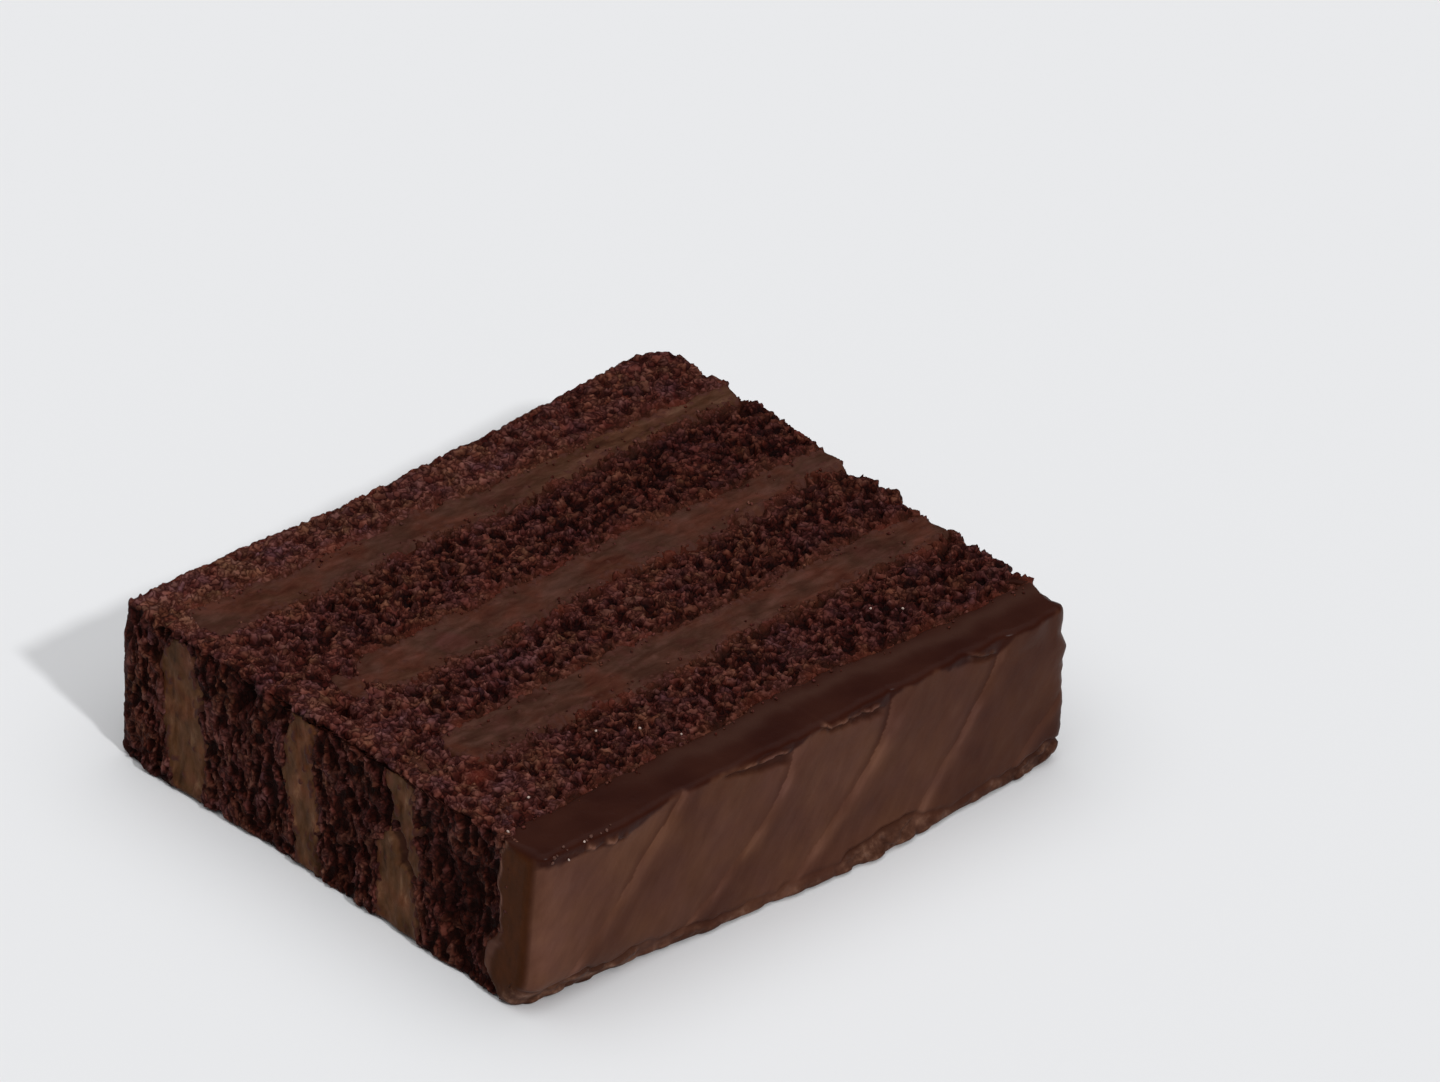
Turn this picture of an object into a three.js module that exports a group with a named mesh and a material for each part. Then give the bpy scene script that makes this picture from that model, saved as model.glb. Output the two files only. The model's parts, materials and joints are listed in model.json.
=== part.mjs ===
// A slice of tall chocolate layer cake, lying on one of its two cut sides.
//
// Standing up, the cake is four dark sponges with three fudge fillings between them
// and a thick coat of fudge icing on top. The slice is a slab cut straight down
// through all of them. Laid on its side, X runs along the layers, Y runs through
// them from the icing to the cake's base, and Z is up from the side it lies on.
// Every layer is a closed solid that reaches right through the slice.

import * as THREE from "three";

// Driving dimensions, in millimetres.
const sliceLength = 103; // along the layers
const sliceThickness = 27; // between the two cut sides
const clearance = 0.3; // left between one layer's solid and the next

// The layers, from the cake's base to its icing. Hand-spread layers are uneven, so
// each has its own thickness at the left end, the middle and the right end. The
// lean is how far its upper face drifts towards the base, from top side to bottom.
const layers = [
  { name: "sponge_1", thickness: [8.9, 10.5, 14.1], lean: 0.2 },
  { name: "filling_1", thickness: [8.6, 6.0, 3.3], lean: -3.0 },
  { name: "sponge_2", thickness: [18.2, 17.4, 19.0], lean: -0.6 },
  { name: "filling_2", thickness: [8.3, 8.2, 5.0], lean: 0.4 },
  { name: "sponge_3", thickness: [13.2, 14.9, 17.4], lean: 2.6 },
  { name: "filling_3", thickness: [8.1, 8.4, 6.8], lean: -0.9 },
  { name: "sponge_4", thickness: [17.9, 15.3, 18.2], lean: 0.6 },
  { name: "icing", thickness: [8.4, 9.5, 7.9], lean: 0 },
];

// Rounding of the slab's edges and corners.
const edgeRadius = 1.3; // where a cut side meets an end
const crustRadius = 1.5; // along the base crust's long edges
const lipRadius = 1.0; // along the icing's long edges
const leftCrustCorner = 1.6; // the base's upright corners
const rightCrustCorner = 3.6;
const icingCorner = 2.2; // the icing's upright corners

// Departures from a true rectangle.
const baseBow = [1.0, 0.3, 1.6]; // how far the base stands out at the left end, middle and right end
const seamWave = 0.35; // how far the layers' faces wander
const seamWaveLength = 46;
const leftFlare = 2.4; // the left end's foot stands out this far at the icing
const footBulge = 1.6; // sponge that sags out at the left end's foot, near the base
const footBulgeY = 35;
const footBulgeWidth = 9;
const footBulgeHeight = 7;
const rightTaper = 0.9; // the right end is this much shorter at the icing than mid-way
const rightRagged = 0.5; // torn crumb along the right end
const raggedLength = 13;

// Spatula strokes on the icing's outer face. Each stroke starts at a groove that
// climbs to the right, rises quickly to a crest and falls away to the next groove.
const strokeStarts = [-62, -44, -22, -2, 20, 37]; // X of each groove at the foot
const strokeRun = 20; // how far a groove travels along X as it climbs
const strokeDepth = 0.7;
const strokeRise = 1.6; // distance from a groove to its crest
const footReach = [-3.6, 1.1, -0.4]; // the bottom edge is tucked in at the left and squashed out mid-way
const footHeight = 5;

// Segments along X, Y and Z.
const spongeSegments = [24, 2, 7];
const fillingSegments = [24, 1, 7];
const icingSegments = [42, 2, 9];

const halfLength = sliceLength / 2;
const middleHeight = layers.reduce((sum, layer) => sum + layer.thickness[1], 0);

// A smooth curve through three values at the left end, the middle and the right end.
function throughThree([left, middle, right], x) {
  const t = x / halfLength;
  return middle + ((right - left) / 2) * t + ((left + right) / 2 - middle) * t * t;
}

// How far rounding pulls an outer face in, near its upright corners and long edges.
function roundingDrop(x, z, cornerRadius, longEdgeRadius) {
  const cornerShare = THREE.MathUtils.clamp(1 - (halfLength - Math.abs(x)) / cornerRadius, 0, 1);
  const edgeShare = THREE.MathUtils.clamp(1 - Math.min(z, sliceThickness - z) / longEdgeRadius, 0, 1);
  const share = cornerShare ** 2 + edgeShare ** 2;
  if (share === 0) return 0;
  const radius = (cornerRadius * cornerShare ** 2 + longEdgeRadius * edgeShare ** 2) / share;
  return radius * (1 - Math.sqrt(Math.max(0, 1 - share)));
}

// Y of the face that stands on the given number of layers, counted from the base.
function seamY(count, x, z) {
  const below = layers.slice(0, count);
  const height = below.reduce((sum, layer) => sum + throughThree(layer.thickness, x), 0);
  const lean = count > 0 ? layers[count - 1].lean : 0;
  const wave = Math.sin((2 * Math.PI * x) / seamWaveLength + count * 1.9);
  const base = middleHeight / 2 + throughThree(baseBow, x);
  return base - height + lean * (1 - z / sliceThickness) + seamWave * wave;
}

// The face of the cake's base, with its corners and long edges rounded.
function baseY(x, z) {
  const corner = x < 0 ? leftCrustCorner : rightCrustCorner;
  return seamY(0, x, z) - roundingDrop(x, z, corner, crustRadius);
}

// How far the icing stands out at a point of its outer face.
function strokeRelief(x, z) {
  const climb = Math.sin((Math.PI / 2) * THREE.MathUtils.clamp(z / sliceThickness, 0, 1));
  const grooves = strokeStarts.map((start) => start + strokeRun * climb);
  const past = grooves.filter((groove) => groove <= x);
  if (past.length === 0) return 0;
  const groove = past[past.length - 1];
  const next = grooves[past.length] ?? groove + strokeRun;
  const along = (x - groove) / (next - groove);
  return strokeDepth * (1 - Math.exp((groove - x) / strokeRise)) * (1 - along);
}

// The icing's outer face: its strokes, its squashed foot, and its rounded edges.
function icingY(x, z) {
  const rounding = roundingDrop(x, z, icingCorner, lipRadius);
  const foot = throughThree(footReach, x) * Math.exp(-((z / footHeight) ** 2));
  return seamY(layers.length, x, z) + rounding - strokeRelief(x, z) - foot;
}

// X of the left and right ends. The left end leans out at its foot near the icing and
// sags out near the base, and the right end is torn and a little shorter at the icing.
function endX(side, y, z) {
  const towardsIcing = THREE.MathUtils.clamp(0.5 - y / middleHeight, 0, 1);
  if (side < 0) {
    const sag = Math.exp(-(((y - footBulgeY) / footBulgeWidth) ** 2) - (z / footBulgeHeight) ** 2);
    return -halfLength - footBulge * sag + leftFlare * towardsIcing * (z / sliceThickness);
  }
  const ragged = rightRagged * Math.sin((2 * Math.PI * y) / raggedLength + z / 6);
  return halfLength + rightTaper * (1 - 2 * towardsIcing) + ragged;
}

// Spaces evenly numbered stations from -1 to 1 so that they crowd towards both ends.
function crowd(t) {
  return t * (1.5 - 0.5 * t * t);
}

// One layer: a segmented unit box whose vertices are moved between two faces, given
// as functions of X and Z, with its long edges rounded where a cut side meets an end.
function layerSolid(innerFace, outerFace, segments) {
  const geometry = new THREE.BoxGeometry(2, 2, 2, ...segments);
  const position = geometry.getAttribute("position");
  const innerHalfX = halfLength - edgeRadius;
  const innerHalfZ = sliceThickness / 2 - edgeRadius;
  for (let i = 0; i < position.count; i++) {
    const blockX = halfLength * crowd(position.getX(i));
    const blockZ = (sliceThickness / 2) * crowd(position.getZ(i));
    const height = sliceThickness / 2 + blockZ;
    const coreX = THREE.MathUtils.clamp(blockX, -innerHalfX, innerHalfX);
    const coreZ = THREE.MathUtils.clamp(blockZ, -innerHalfZ, innerHalfZ);
    const reach = Math.hypot(blockX - coreX, blockZ - coreZ);
    const pull = reach > edgeRadius ? edgeRadius / reach : 1;
    const x = coreX + (blockX - coreX) * pull;
    const z = sliceThickness / 2 + coreZ + (blockZ - coreZ) * pull;
    const share = (position.getY(i) + 1) / 2;
    const y = THREE.MathUtils.lerp(outerFace(blockX, height), innerFace(blockX, height), share);
    const side = Math.sign(x);
    const stretch = (endX(side, y, z) / halfLength) * side;
    position.setXYZ(i, x * stretch, y, z);
  }
  geometry.computeVertexNormals();
  return geometry;
}

const spongeLook = new THREE.MeshStandardMaterial({ color: 0x391c18, roughness: 0.95, metalness: 0 });
const fillingLook = new THREE.MeshStandardMaterial({ color: 0x452921, roughness: 0.6, metalness: 0 });
const icingLook = new THREE.MeshStandardMaterial({ color: 0x4f332b, roughness: 0.5, metalness: 0 });

const cake = new THREE.Group();
layers.forEach((layer, index) => {
  const isIcing = layer.name === "icing";
  const isSponge = layer.name.startsWith("sponge");
  const towardsBase = (x, z) => (index === 0 ? baseY(x, z) : seamY(index, x, z) - clearance / 2);
  const towardsIcing = (x, z) => (isIcing ? icingY(x, z) : seamY(index + 1, x, z) + clearance / 2);
  const segments = isIcing ? icingSegments : isSponge ? spongeSegments : fillingSegments;
  const look = isIcing ? icingLook : isSponge ? spongeLook : fillingLook;
  const mesh = new THREE.Mesh(layerSolid(towardsBase, towardsIcing, segments), look);
  mesh.name = layer.name;
  cake.add(mesh);
});

// The origin is the middle of the whole slice's footprint, on the surface it lies on.
const bounds = new THREE.Box3().setFromObject(cake, true);
const middle = bounds.getCenter(new THREE.Vector3());
cake.position.set(-middle.x, -middle.y, -bounds.min.z);

export default cake;
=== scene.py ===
# A slice of tall chocolate layer cake, lying on one of its two cut sides.
# X runs along the layers, Y from the icing to the cake's base, Z up from the side it lies on.
# Shapes are worked out in millimetres, as whole numpy arrays, and written to meshes in metres.

import json
import math
import bpy
import numpy as np
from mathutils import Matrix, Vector
from mathutils.bvhtree import BVHTree

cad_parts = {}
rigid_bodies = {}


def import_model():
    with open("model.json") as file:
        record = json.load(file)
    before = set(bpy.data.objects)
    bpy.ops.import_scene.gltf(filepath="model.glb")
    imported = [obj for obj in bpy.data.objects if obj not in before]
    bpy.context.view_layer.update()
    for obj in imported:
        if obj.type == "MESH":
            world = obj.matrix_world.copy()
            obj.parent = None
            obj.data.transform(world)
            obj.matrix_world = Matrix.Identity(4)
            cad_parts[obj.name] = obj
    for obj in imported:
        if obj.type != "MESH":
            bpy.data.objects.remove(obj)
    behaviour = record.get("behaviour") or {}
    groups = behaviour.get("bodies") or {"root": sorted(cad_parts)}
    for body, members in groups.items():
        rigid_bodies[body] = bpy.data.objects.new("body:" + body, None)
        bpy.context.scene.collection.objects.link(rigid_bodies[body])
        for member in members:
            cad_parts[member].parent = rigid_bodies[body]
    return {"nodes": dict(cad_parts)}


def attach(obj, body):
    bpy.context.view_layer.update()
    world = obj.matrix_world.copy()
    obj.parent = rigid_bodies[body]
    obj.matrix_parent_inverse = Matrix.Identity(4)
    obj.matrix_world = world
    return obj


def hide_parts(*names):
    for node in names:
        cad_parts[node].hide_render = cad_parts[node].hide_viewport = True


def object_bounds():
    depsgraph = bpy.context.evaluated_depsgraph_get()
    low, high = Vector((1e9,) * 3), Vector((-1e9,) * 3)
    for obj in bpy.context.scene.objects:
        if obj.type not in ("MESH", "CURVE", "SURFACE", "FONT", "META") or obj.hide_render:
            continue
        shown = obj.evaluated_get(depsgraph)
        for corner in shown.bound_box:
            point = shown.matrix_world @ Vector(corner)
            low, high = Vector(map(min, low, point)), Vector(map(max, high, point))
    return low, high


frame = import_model()
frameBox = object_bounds()
mm = 0.001

layerNames = ["sponge_1", "filling_1", "sponge_2", "filling_2", "sponge_3", "filling_3", "sponge_4", "icing"]

slab = {
    "thickness": frameBox[1].z / mm,    # between the two cut sides
    "halfLength": 52.0,                 # nominal; the real ends are read from the frame
    "edgeRound": 1.3,                   # where a cut side meets an end
    "leftStretch": 0.55,                # a knife draws the crumb out on the left end
    "wobble": [(0.6, 6.5, 70), (0.48, 2.4, 80), (0.33, 1.05, 100)],      # how the borders stray
    "coverStray": [(1.2, 3.0, 60), (0.8, 1.3, 64)],
    "leftEndFrom": (49.8, 51.2),        # the left end's own borders take over between these
    "rightReach": 1.2,                  # the torn right end stands this far out of the frame's face
    "highest": 0.75,                    # no crumb stands further out of the cut than this
    "floor": 0.02,                      # and nothing reaches lower than this
}

# Where crumb has closed over a filling, at the left end's top edge. On the cut side it fades out between
# the two distances from the middle, on the left end between the two heights.
closedOver = {
    1: {"across": (46.5, 50), "heights": (23.5, 26), "reach": 5.5},
    2: {"across": (37.5, 42), "heights": (25, 27), "reach": 5.5},
    3: {"across": (40, 45), "heights": (25.5, 27), "reach": 5.5},
}

# On the left end the borders are uneven: how far crumb reaches over each filling from its two sides, by
# height, and over the icing, which is layer 4
leftBorders = {
    1: {"heights": [2, 6, 10, 15, 20, 24, 25.5], "baseSide": [3.8, 1.8, 0.5, 0.2, -0.3, 1.4, 2.5],
        "icingSide": [1.6, 0.4, 1, 2, 2.2, 2.2, 3.5]},
    2: {"heights": [2, 5, 10, 15, 20, 25], "baseSide": [1.5, 1.2, -0.3, -0.8, 0, 2],
        "icingSide": [-0.8, 0, 0.3, 0.3, 0.8, 1.4]},
    3: {"heights": [2, 5, 10, 13, 16, 20, 25, 27], "baseSide": [2, 2.2, 1.6, 1, 3, 4.6, 0.8, 1.2],
        "icingSide": [0, 0.4, 1.5, 0.8, 1.4, 2, 1.8, 1.2]},
    4: {"heights": [1, 3, 5, 7, 9, 11, 12, 15, 20, 25],
        "baseSide": [2.2, 0.4, -1.6, -1.9, -1.5, 0.4, 2, 2.2, 2.2, 1.8]},
}


# Numbers for noise

def scramble(words):
    # Shift, combine and multiply, twice, so that neighbouring whole numbers end far apart
    words = (words ^ (words >> np.uint32(16))) * np.uint32(0x7FEB352D)
    words = (words ^ (words >> np.uint32(15))) * np.uint32(0x846CA68B)
    return words ^ (words >> np.uint32(16))


def hashedNumbers(cells, seed, count):
    # Numbers from 0 to 1 for every cell: its three whole coordinates are folded in one by one
    words = np.full(cells.shape[:-1], seed, np.uint32)
    for axis in range(3):
        words = scramble(words * np.uint32(31) + cells[..., axis].astype(np.uint32))
    draws = []
    for _ in range(count):
        words = scramble(words + np.uint32(0x9E3779B9))
        draws.append(words / 2.0**32)
    return np.stack(draws, axis=-1)


def softNoise(points, wave, seed):
    # Value noise from -1 to 1: numbers at the corners of cubes as wide as the wave, blended smoothly
    scaled = points / wave
    home = np.floor(scaled).astype(np.int64)
    part = scaled - home
    part = part * part * (3 - 2 * part)
    total = np.zeros(points.shape[:-1])
    for offset in np.ndindex(2, 2, 2):
        share = np.prod(np.where(np.array(offset) == 1, part, 1 - part), axis=-1)
        total += share * hashedNumbers(home + np.array(offset), seed, 1)[..., 0]
    return 2 * total - 1


def mixedNoise(points, parts, shift=0):
    # Soft noises added up. Each part gives its height, the width of its waves and its seed.
    return sum(height * softNoise(points, wave, seed + shift) for height, wave, seed in parts)


def lumpNoise(points, wave, seed, longest=1.5, widest=0.62, filled=1.0):
    # Egg-shaped grains, one in each cube as wide as the wave and turned at random. The height over a
    # point is the largest sqrt(radius^2 - distance^2), from 0 to 1, with the distance along the
    # grain's long axis divided by its length.
    scaled = points / wave
    home = np.floor(scaled).astype(np.int64)
    height = np.zeros(points.shape[:-1])
    for offset in np.ndindex(3, 3, 3):
        cell = home + np.array(offset) - 1
        draw = hashedNumbers(cell, seed, 7)
        gap = scaled - cell - draw[..., :3]
        turn = 2 * math.pi * draw[..., 3]
        tip = 2 * draw[..., 4] - 1
        flat = np.sqrt(1 - tip * tip)
        along = gap[..., 0] * flat * np.cos(turn) + gap[..., 1] * flat * np.sin(turn) + gap[..., 2] * tip
        distance = (gap * gap).sum(axis=-1) - (1 - 1 / longest**2) * along**2
        radius = widest * (0.55 + 0.45 * draw[..., 5])
        top = np.sqrt(np.clip(radius**2 - distance, 0, None)) / widest
        top = np.where(draw[..., 6] < filled, top, 0)
        height = np.maximum(height, top)
    return height


def flakeNoise(points, wave, seed):
    # Every point belongs to the nearest of many scattered centres, and each centre's patch is a plane
    # tilted its own way, so that it rises and falls like a torn flake, by about 0.6 either way
    scaled = points / wave
    home = np.floor(scaled).astype(np.int64)
    nearest = np.full(points.shape[:-1], np.inf)
    height = np.zeros(points.shape[:-1])
    for offset in np.ndindex(3, 3, 3):
        cell = home + np.array(offset) - 1
        draw = hashedNumbers(cell, seed, 6)
        gap = scaled - cell - draw[..., :3]
        distance = (gap * gap).sum(axis=-1)
        plane = (gap * (2 * draw[..., 3:6] - 1)).sum(axis=-1)
        closer = distance < nearest
        nearest = np.where(closer, distance, nearest)
        height = np.where(closer, plane, height)
    return height


def fade(value, start, end):
    # 0 before start, 1 after end, an S curve between
    part = np.clip((value - start) / (end - start), 0, 1)
    return part * part * (3 - 2 * part)


# The frame's faces

def solidTree(names):
    # The named solids as one tree of faces, in millimetres, that straight lines can be cast at
    corners, faces = [], []
    for name in names:
        mesh = frame["nodes"][name].data
        start = len(corners)
        corners += [tuple(vertex.co / mm) for vertex in mesh.vertices]
        faces += [[start + corner for corner in face.vertices] for face in mesh.polygons]
    return BVHTree.FromPolygons(corners, faces)


def measuredFace(names, axis, side, first, second):
    # Where straight lines along one axis, coming from one side, first meet the frame's solids. Each is
    # cast three times, a little apart, and the outermost counts, so that none slips between two layers.
    tree = solidTree(names)
    values = np.zeros((len(first), len(second)))
    direction = Vector([-side if k == axis else 0 for k in range(3)])
    for i, a in enumerate(first):
        for j, b in enumerate(second):
            starts = [Vector((side * 200, a + nudge, b)) if axis == 0 else Vector((a + nudge, side * 200, b))
                      for nudge in (-0.5, 0, 0.5)]
            hits = [tree.ray_cast(start, direction)[0][axis] for start in starts]
            values[i, j] = side * max(side * hit for hit in hits)
    return {"first": first, "second": second, "values": values}


def readFace(face, first, second):
    # Straight-line interpolation between the stations, carried on beyond the outermost ones
    cells, parts = [], []
    for stations, place in ((face["first"], first), (face["second"], second)):
        cell = np.clip(np.searchsorted(stations, place) - 1, 0, len(stations) - 2)
        cells.append(cell)
        parts.append((place - stations[cell]) / (stations[cell + 1] - stations[cell]))
    (i, j), (u, v), values = cells, parts, face["values"]
    low = (1 - u) * values[i, j] + u * values[i + 1, j]
    high = (1 - u) * values[i, j + 1] + u * values[i + 1, j + 1]
    return (1 - v) * low + v * high


stationsX = np.linspace(-47, 47, 29)
stationsY = np.linspace(-41, 41, 29)
stationsZ = np.array([1.6, 4, 7, 10.5, 14.5, 19, 23, 25.4])
leftEnd = measuredFace(layerNames, 0, -1, stationsY, stationsZ)
rightEnd = measuredFace(layerNames, 0, 1, stationsY, stationsZ)
icingSides = {name: measuredFace([name], 1, -1, stationsX, stationsZ) for name in layerNames}
baseSides = {name: measuredFace([name], 1, 1, stationsX, stationsZ) for name in layerNames}
print("frame measured: the left end reaches x", round(leftEnd["values"].min(), 1))


def endX(blockX, y, z):
    # A block that runs from -halfLength to halfLength is stretched so that it ends where the frame does
    left = -readFace(leftEnd, y, z)
    right = readFace(rightEnd, y, z) + slab["rightReach"]
    return blockX / slab["halfLength"] * np.where(blockX < 0, left, right)


# Grids

def roundedOutline(halfWidth, height, radius, count, startWeight=1.0):
    # A rectangle with round corners, walked from the middle of its left side over the top to the middle
    # of its right side and back underneath, so that point i and point count-1-i mirror each other.
    # A start weight below 1 spends fewer points on the left side.
    turn = np.linspace(0, math.pi / 2, 9)
    firstArc = math.pi - turn
    secondArc = math.pi / 2 - turn
    angles = np.concatenate([[math.pi], firstArc, secondArc, [0]])
    centreX = np.concatenate([[radius - halfWidth] * 10, [halfWidth - radius] * 10])
    x = centreX + radius * np.cos(angles)
    z = height - radius + radius * np.sin(angles)
    z[[0, -1]] = height / 2
    steps = np.hypot(np.diff(x), np.diff(z))
    steps[0] *= startWeight
    walked = np.concatenate([[0], np.cumsum(steps)])
    half = (np.arange(count // 2) + 0.5) / (count // 2) * walked[-1]
    upper = [np.interp(half, walked, column) for column in (x, z, np.cos(angles), np.sin(angles))]
    lower = [upper[0][::-1], height - upper[1][::-1], upper[2][::-1], -upper[3][::-1]]
    return [np.concatenate(pair) for pair in zip(upper, lower)]


def insetOutline(across, up, outline, radius, inset):
    # A rounded outline pulled in: the middles of its corners move in and the corners tighten.
    # The outline gives half its width, half its height, and its normals; places are from its middle.
    halfWidth, halfHeight, normalAcross, normalUp = outline
    tight = np.maximum(radius - inset, 0.3)
    acrossShare = (halfWidth - inset - tight) / (halfWidth - radius)
    upShare = (halfHeight - inset - tight) / (halfHeight - radius)
    across = (across - radius * normalAcross) * acrossShare + tight * normalAcross
    up = (up - radius * normalUp) * upShare + tight * normalUp
    return across, up


def blockRows(straight, lowArc, highArc, lowCap, highCap):
    # Rows of a block, from one end to the other: rings that shrink to the middle line of the end, an arc
    # of a quarter turn, the straight part, and the same again. Gives each row's place along the straight
    # part (0 to 1), its turn in radians, and its share of the way in to the middle line.
    deepest = 0.985
    lowSink = np.linspace(deepest, 0, lowCap + 1)[:-1]
    highSink = np.linspace(0, deepest, highCap + 1)[1:]
    lowTurn = -np.linspace(math.pi / 2, 0, lowArc + 1)[:-1]
    highTurn = np.linspace(0, math.pi / 2, highArc + 1)[1:]
    along = np.linspace(0, 1, straight)
    lowTip = -math.pi / 2 if lowArc else 0
    highTip = math.pi / 2 if highArc else 0
    share = np.concatenate([0 * lowSink, 0 * lowTurn, along, 0 * highTurn + 1, 0 * highSink + 1])
    turn = np.concatenate([0 * lowSink + lowTip, lowTurn, 0 * along, highTurn, 0 * highSink + highTip])
    sink = np.concatenate([lowSink, 0 * lowTurn, 0 * along, 0 * highTurn, highSink])
    return share[:, None], turn[:, None], sink[:, None]


def layerGrid(spacing, faces, overlap, highRows=(0, 4), edge=0.0):
    # What a sponge or a filling is shaped from: the slab's rounded outline, repeated in rows from the
    # layer's icing side to its base side, which an edge rounds off. Both ends shrink to the slab's middle
    # line. The two faces say how thick the layer is, and the overlap how far it runs in beyond them.
    icingSide, baseSide = faces
    halfLength, middle, corner = slab["halfLength"], slab["thickness"] / 2, slab["edgeRound"]
    around = 2 * round((4 * halfLength + 4 * middle) / spacing / 2)
    blockX, blockZ, normalX, normalZ = roundedOutline(halfLength, 2 * middle, corner, around)
    straight = round(((baseSide["values"] - icingSide["values"]).mean() + 2 * overlap) / spacing)
    share, turn, sink = blockRows(straight, 0, highRows[0], 4, highRows[1])
    outline = (halfLength, middle, normalX, normalZ)
    blockX, up = insetOutline(blockX, blockZ - middle, outline, corner, edge * (1 - np.cos(turn)))
    blockX = blockX + (np.clip(blockX, middle - halfLength, halfLength - middle) - blockX) * sink
    return blockX, up * (1 - sink) + middle, normalX, normalZ, share, turn, sink


def meshFromRings(name, rings, attributes, material):
    # Quads between neighbouring rings, and a strip over the first and last ring that joins point i to
    # its mirror image. The signed volume says whether the faces have to be turned round.
    rows, around = rings.shape[:2]
    index = np.arange(rows * around).reshape(rows, around)
    following = np.roll(index, -1, axis=1)
    sides = np.stack([index[:-1], index[1:], following[1:], following[:-1]], axis=-1).reshape(-1, 4)
    near = np.arange(around // 2 - 1)
    far = around - 1 - near
    firstCap = np.stack([index[0, near], index[0, near + 1], index[0, far - 1], index[0, far]], axis=-1)
    lastCap = np.stack([index[-1, far], index[-1, far - 1], index[-1, near + 1], index[-1, near]], axis=-1)
    faces = np.concatenate([sides, firstCap, lastCap])
    corners = rings.reshape(-1, 3) * mm
    a, b, c, d = (corners[faces[:, k]] for k in range(4))
    volume = (np.cross(b - a, c - a) * a).sum() + (np.cross(c - a, d - a) * a).sum()
    if volume < 0:
        faces = faces[:, ::-1]
    return meshFromArrays(name, corners, faces, attributes, material)


def meshFromArrays(name, corners, faces, attributes, material):
    # Fills a mesh with whole arrays: corners in metres, faces that all have as many corners, and for each
    # attribute a number per corner
    mesh = bpy.data.meshes.new(name)
    mesh.vertices.add(len(corners))
    mesh.vertices.foreach_set("co", corners.astype(np.float32).ravel())
    size = faces.shape[1]
    mesh.loops.add(faces.size)
    mesh.loops.foreach_set("vertex_index", faces.astype(np.int32).ravel())
    mesh.polygons.add(len(faces))
    mesh.polygons.foreach_set("loop_start", np.arange(0, faces.size, size, dtype=np.int32))
    mesh.polygons.foreach_set("use_smooth", np.ones(len(faces), bool))
    mesh.update(calc_edges=True)
    for attribute, values in attributes.items():
        layer = mesh.attributes.new(attribute, "FLOAT", "POINT")
        layer.data.foreach_set("value", values.astype(np.float32).ravel())
    mesh.materials.append(material)
    piece = bpy.data.objects.new(name, mesh)
    bpy.context.scene.collection.objects.link(piece)
    print(name, "made:", len(faces) * (size - 2), "triangles")
    return piece


def grainSpace(x, y, z):
    # Where noise is read: towards the left end, heights are pressed together, so that what is made
    # from them is drawn out upwards, as a knife leaves it
    squeeze = 1 - (1 - slab["leftStretch"]) * fade(-x, 44, 51)
    top = slab["thickness"]
    return np.stack([x, y, top - (top - z) * squeeze], axis=-1)


def seamWobble(x, z, seam):
    # How far the border between two layers strays from the frame's smooth seam, from slow to ragged
    spot = np.stack(np.broadcast_arrays(x, 0.0, z), axis=-1)
    return mixedNoise(spot, slab["wobble"], seam)


def crumbCover(number, side, x, z):
    # How far the sponge on one side reaches over a filling or the icing. Below 0, that reaches over it.
    cover = np.zeros(np.broadcast_shapes(np.shape(x), np.shape(z)))
    if number in closedOver:
        place = closedOver[number]
        spot = np.stack(np.broadcast_arrays(x, 0.0, z), axis=-1)
        stray = mixedNoise(spot, slab["coverStray"], number)
        cover = place["reach"] * fade(stray - x, *place["across"]) * fade(z + stray, *place["heights"])
    if number in leftBorders:
        borders = leftBorders[number]
        atEnd = np.interp(z, borders["heights"], borders[side]) * fade(-x, *slab["leftEndFrom"])
        cover = np.where(cover > np.maximum(atEnd, 0), cover, atEnd)
    return cover


# Materials. Pattern sizes are in metres, and colours are sRGB.

multiply = {"data_type": "RGBA", "blend_type": "MULTIPLY", "Factor_Float": 1.0}


def linear(code):
    # sRGB hex to linear light
    channels = np.array([int(code[k:k + 2], 16) for k in (1, 3, 5)]) / 255
    light = np.where(channels <= 0.04045, channels / 12.92, ((channels + 0.055) / 1.055) ** 2.4)
    return (*light, 1.0)


def addNode(tree, kind, settings, links=()):
    # Adds one node. A setting goes to the socket of that name, or else to the node's own property, and stops
    # are a colour ramp's places and colours. A link is (socket name, node it comes from, its output's name).
    node = tree.nodes.new(kind)
    for key, value in settings.items():
        socket = next((s for s in node.inputs if s.identifier == key), None)
        if socket is not None:
            socket.default_value = value
        elif key != "stops":
            setattr(node, key, value)
    for _ in settings.get("stops", [])[2:]:
        node.color_ramp.elements.new(1.0)
    for k, (place, code) in enumerate(settings.get("stops", [])):
        node.color_ramp.elements[k].position = place
        node.color_ramp.elements[k].color = linear(code)
    for key, source, output in links:
        target = next(s for s in node.inputs if s.identifier == key)
        origin = next(s for s in source.outputs if s.identifier == output)
        tree.links.new(origin, target)
    return node


def newMaterial(name, *attributes):
    # An empty material, and with it one node for each attribute that it reads
    material = bpy.data.materials.new(name)
    material.use_nodes = True
    tree = material.node_tree
    tree.nodes.clear()
    readers = [addNode(tree, "ShaderNodeAttribute", {"attribute_name": each}) for each in attributes]
    return material, tree, *readers


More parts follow.
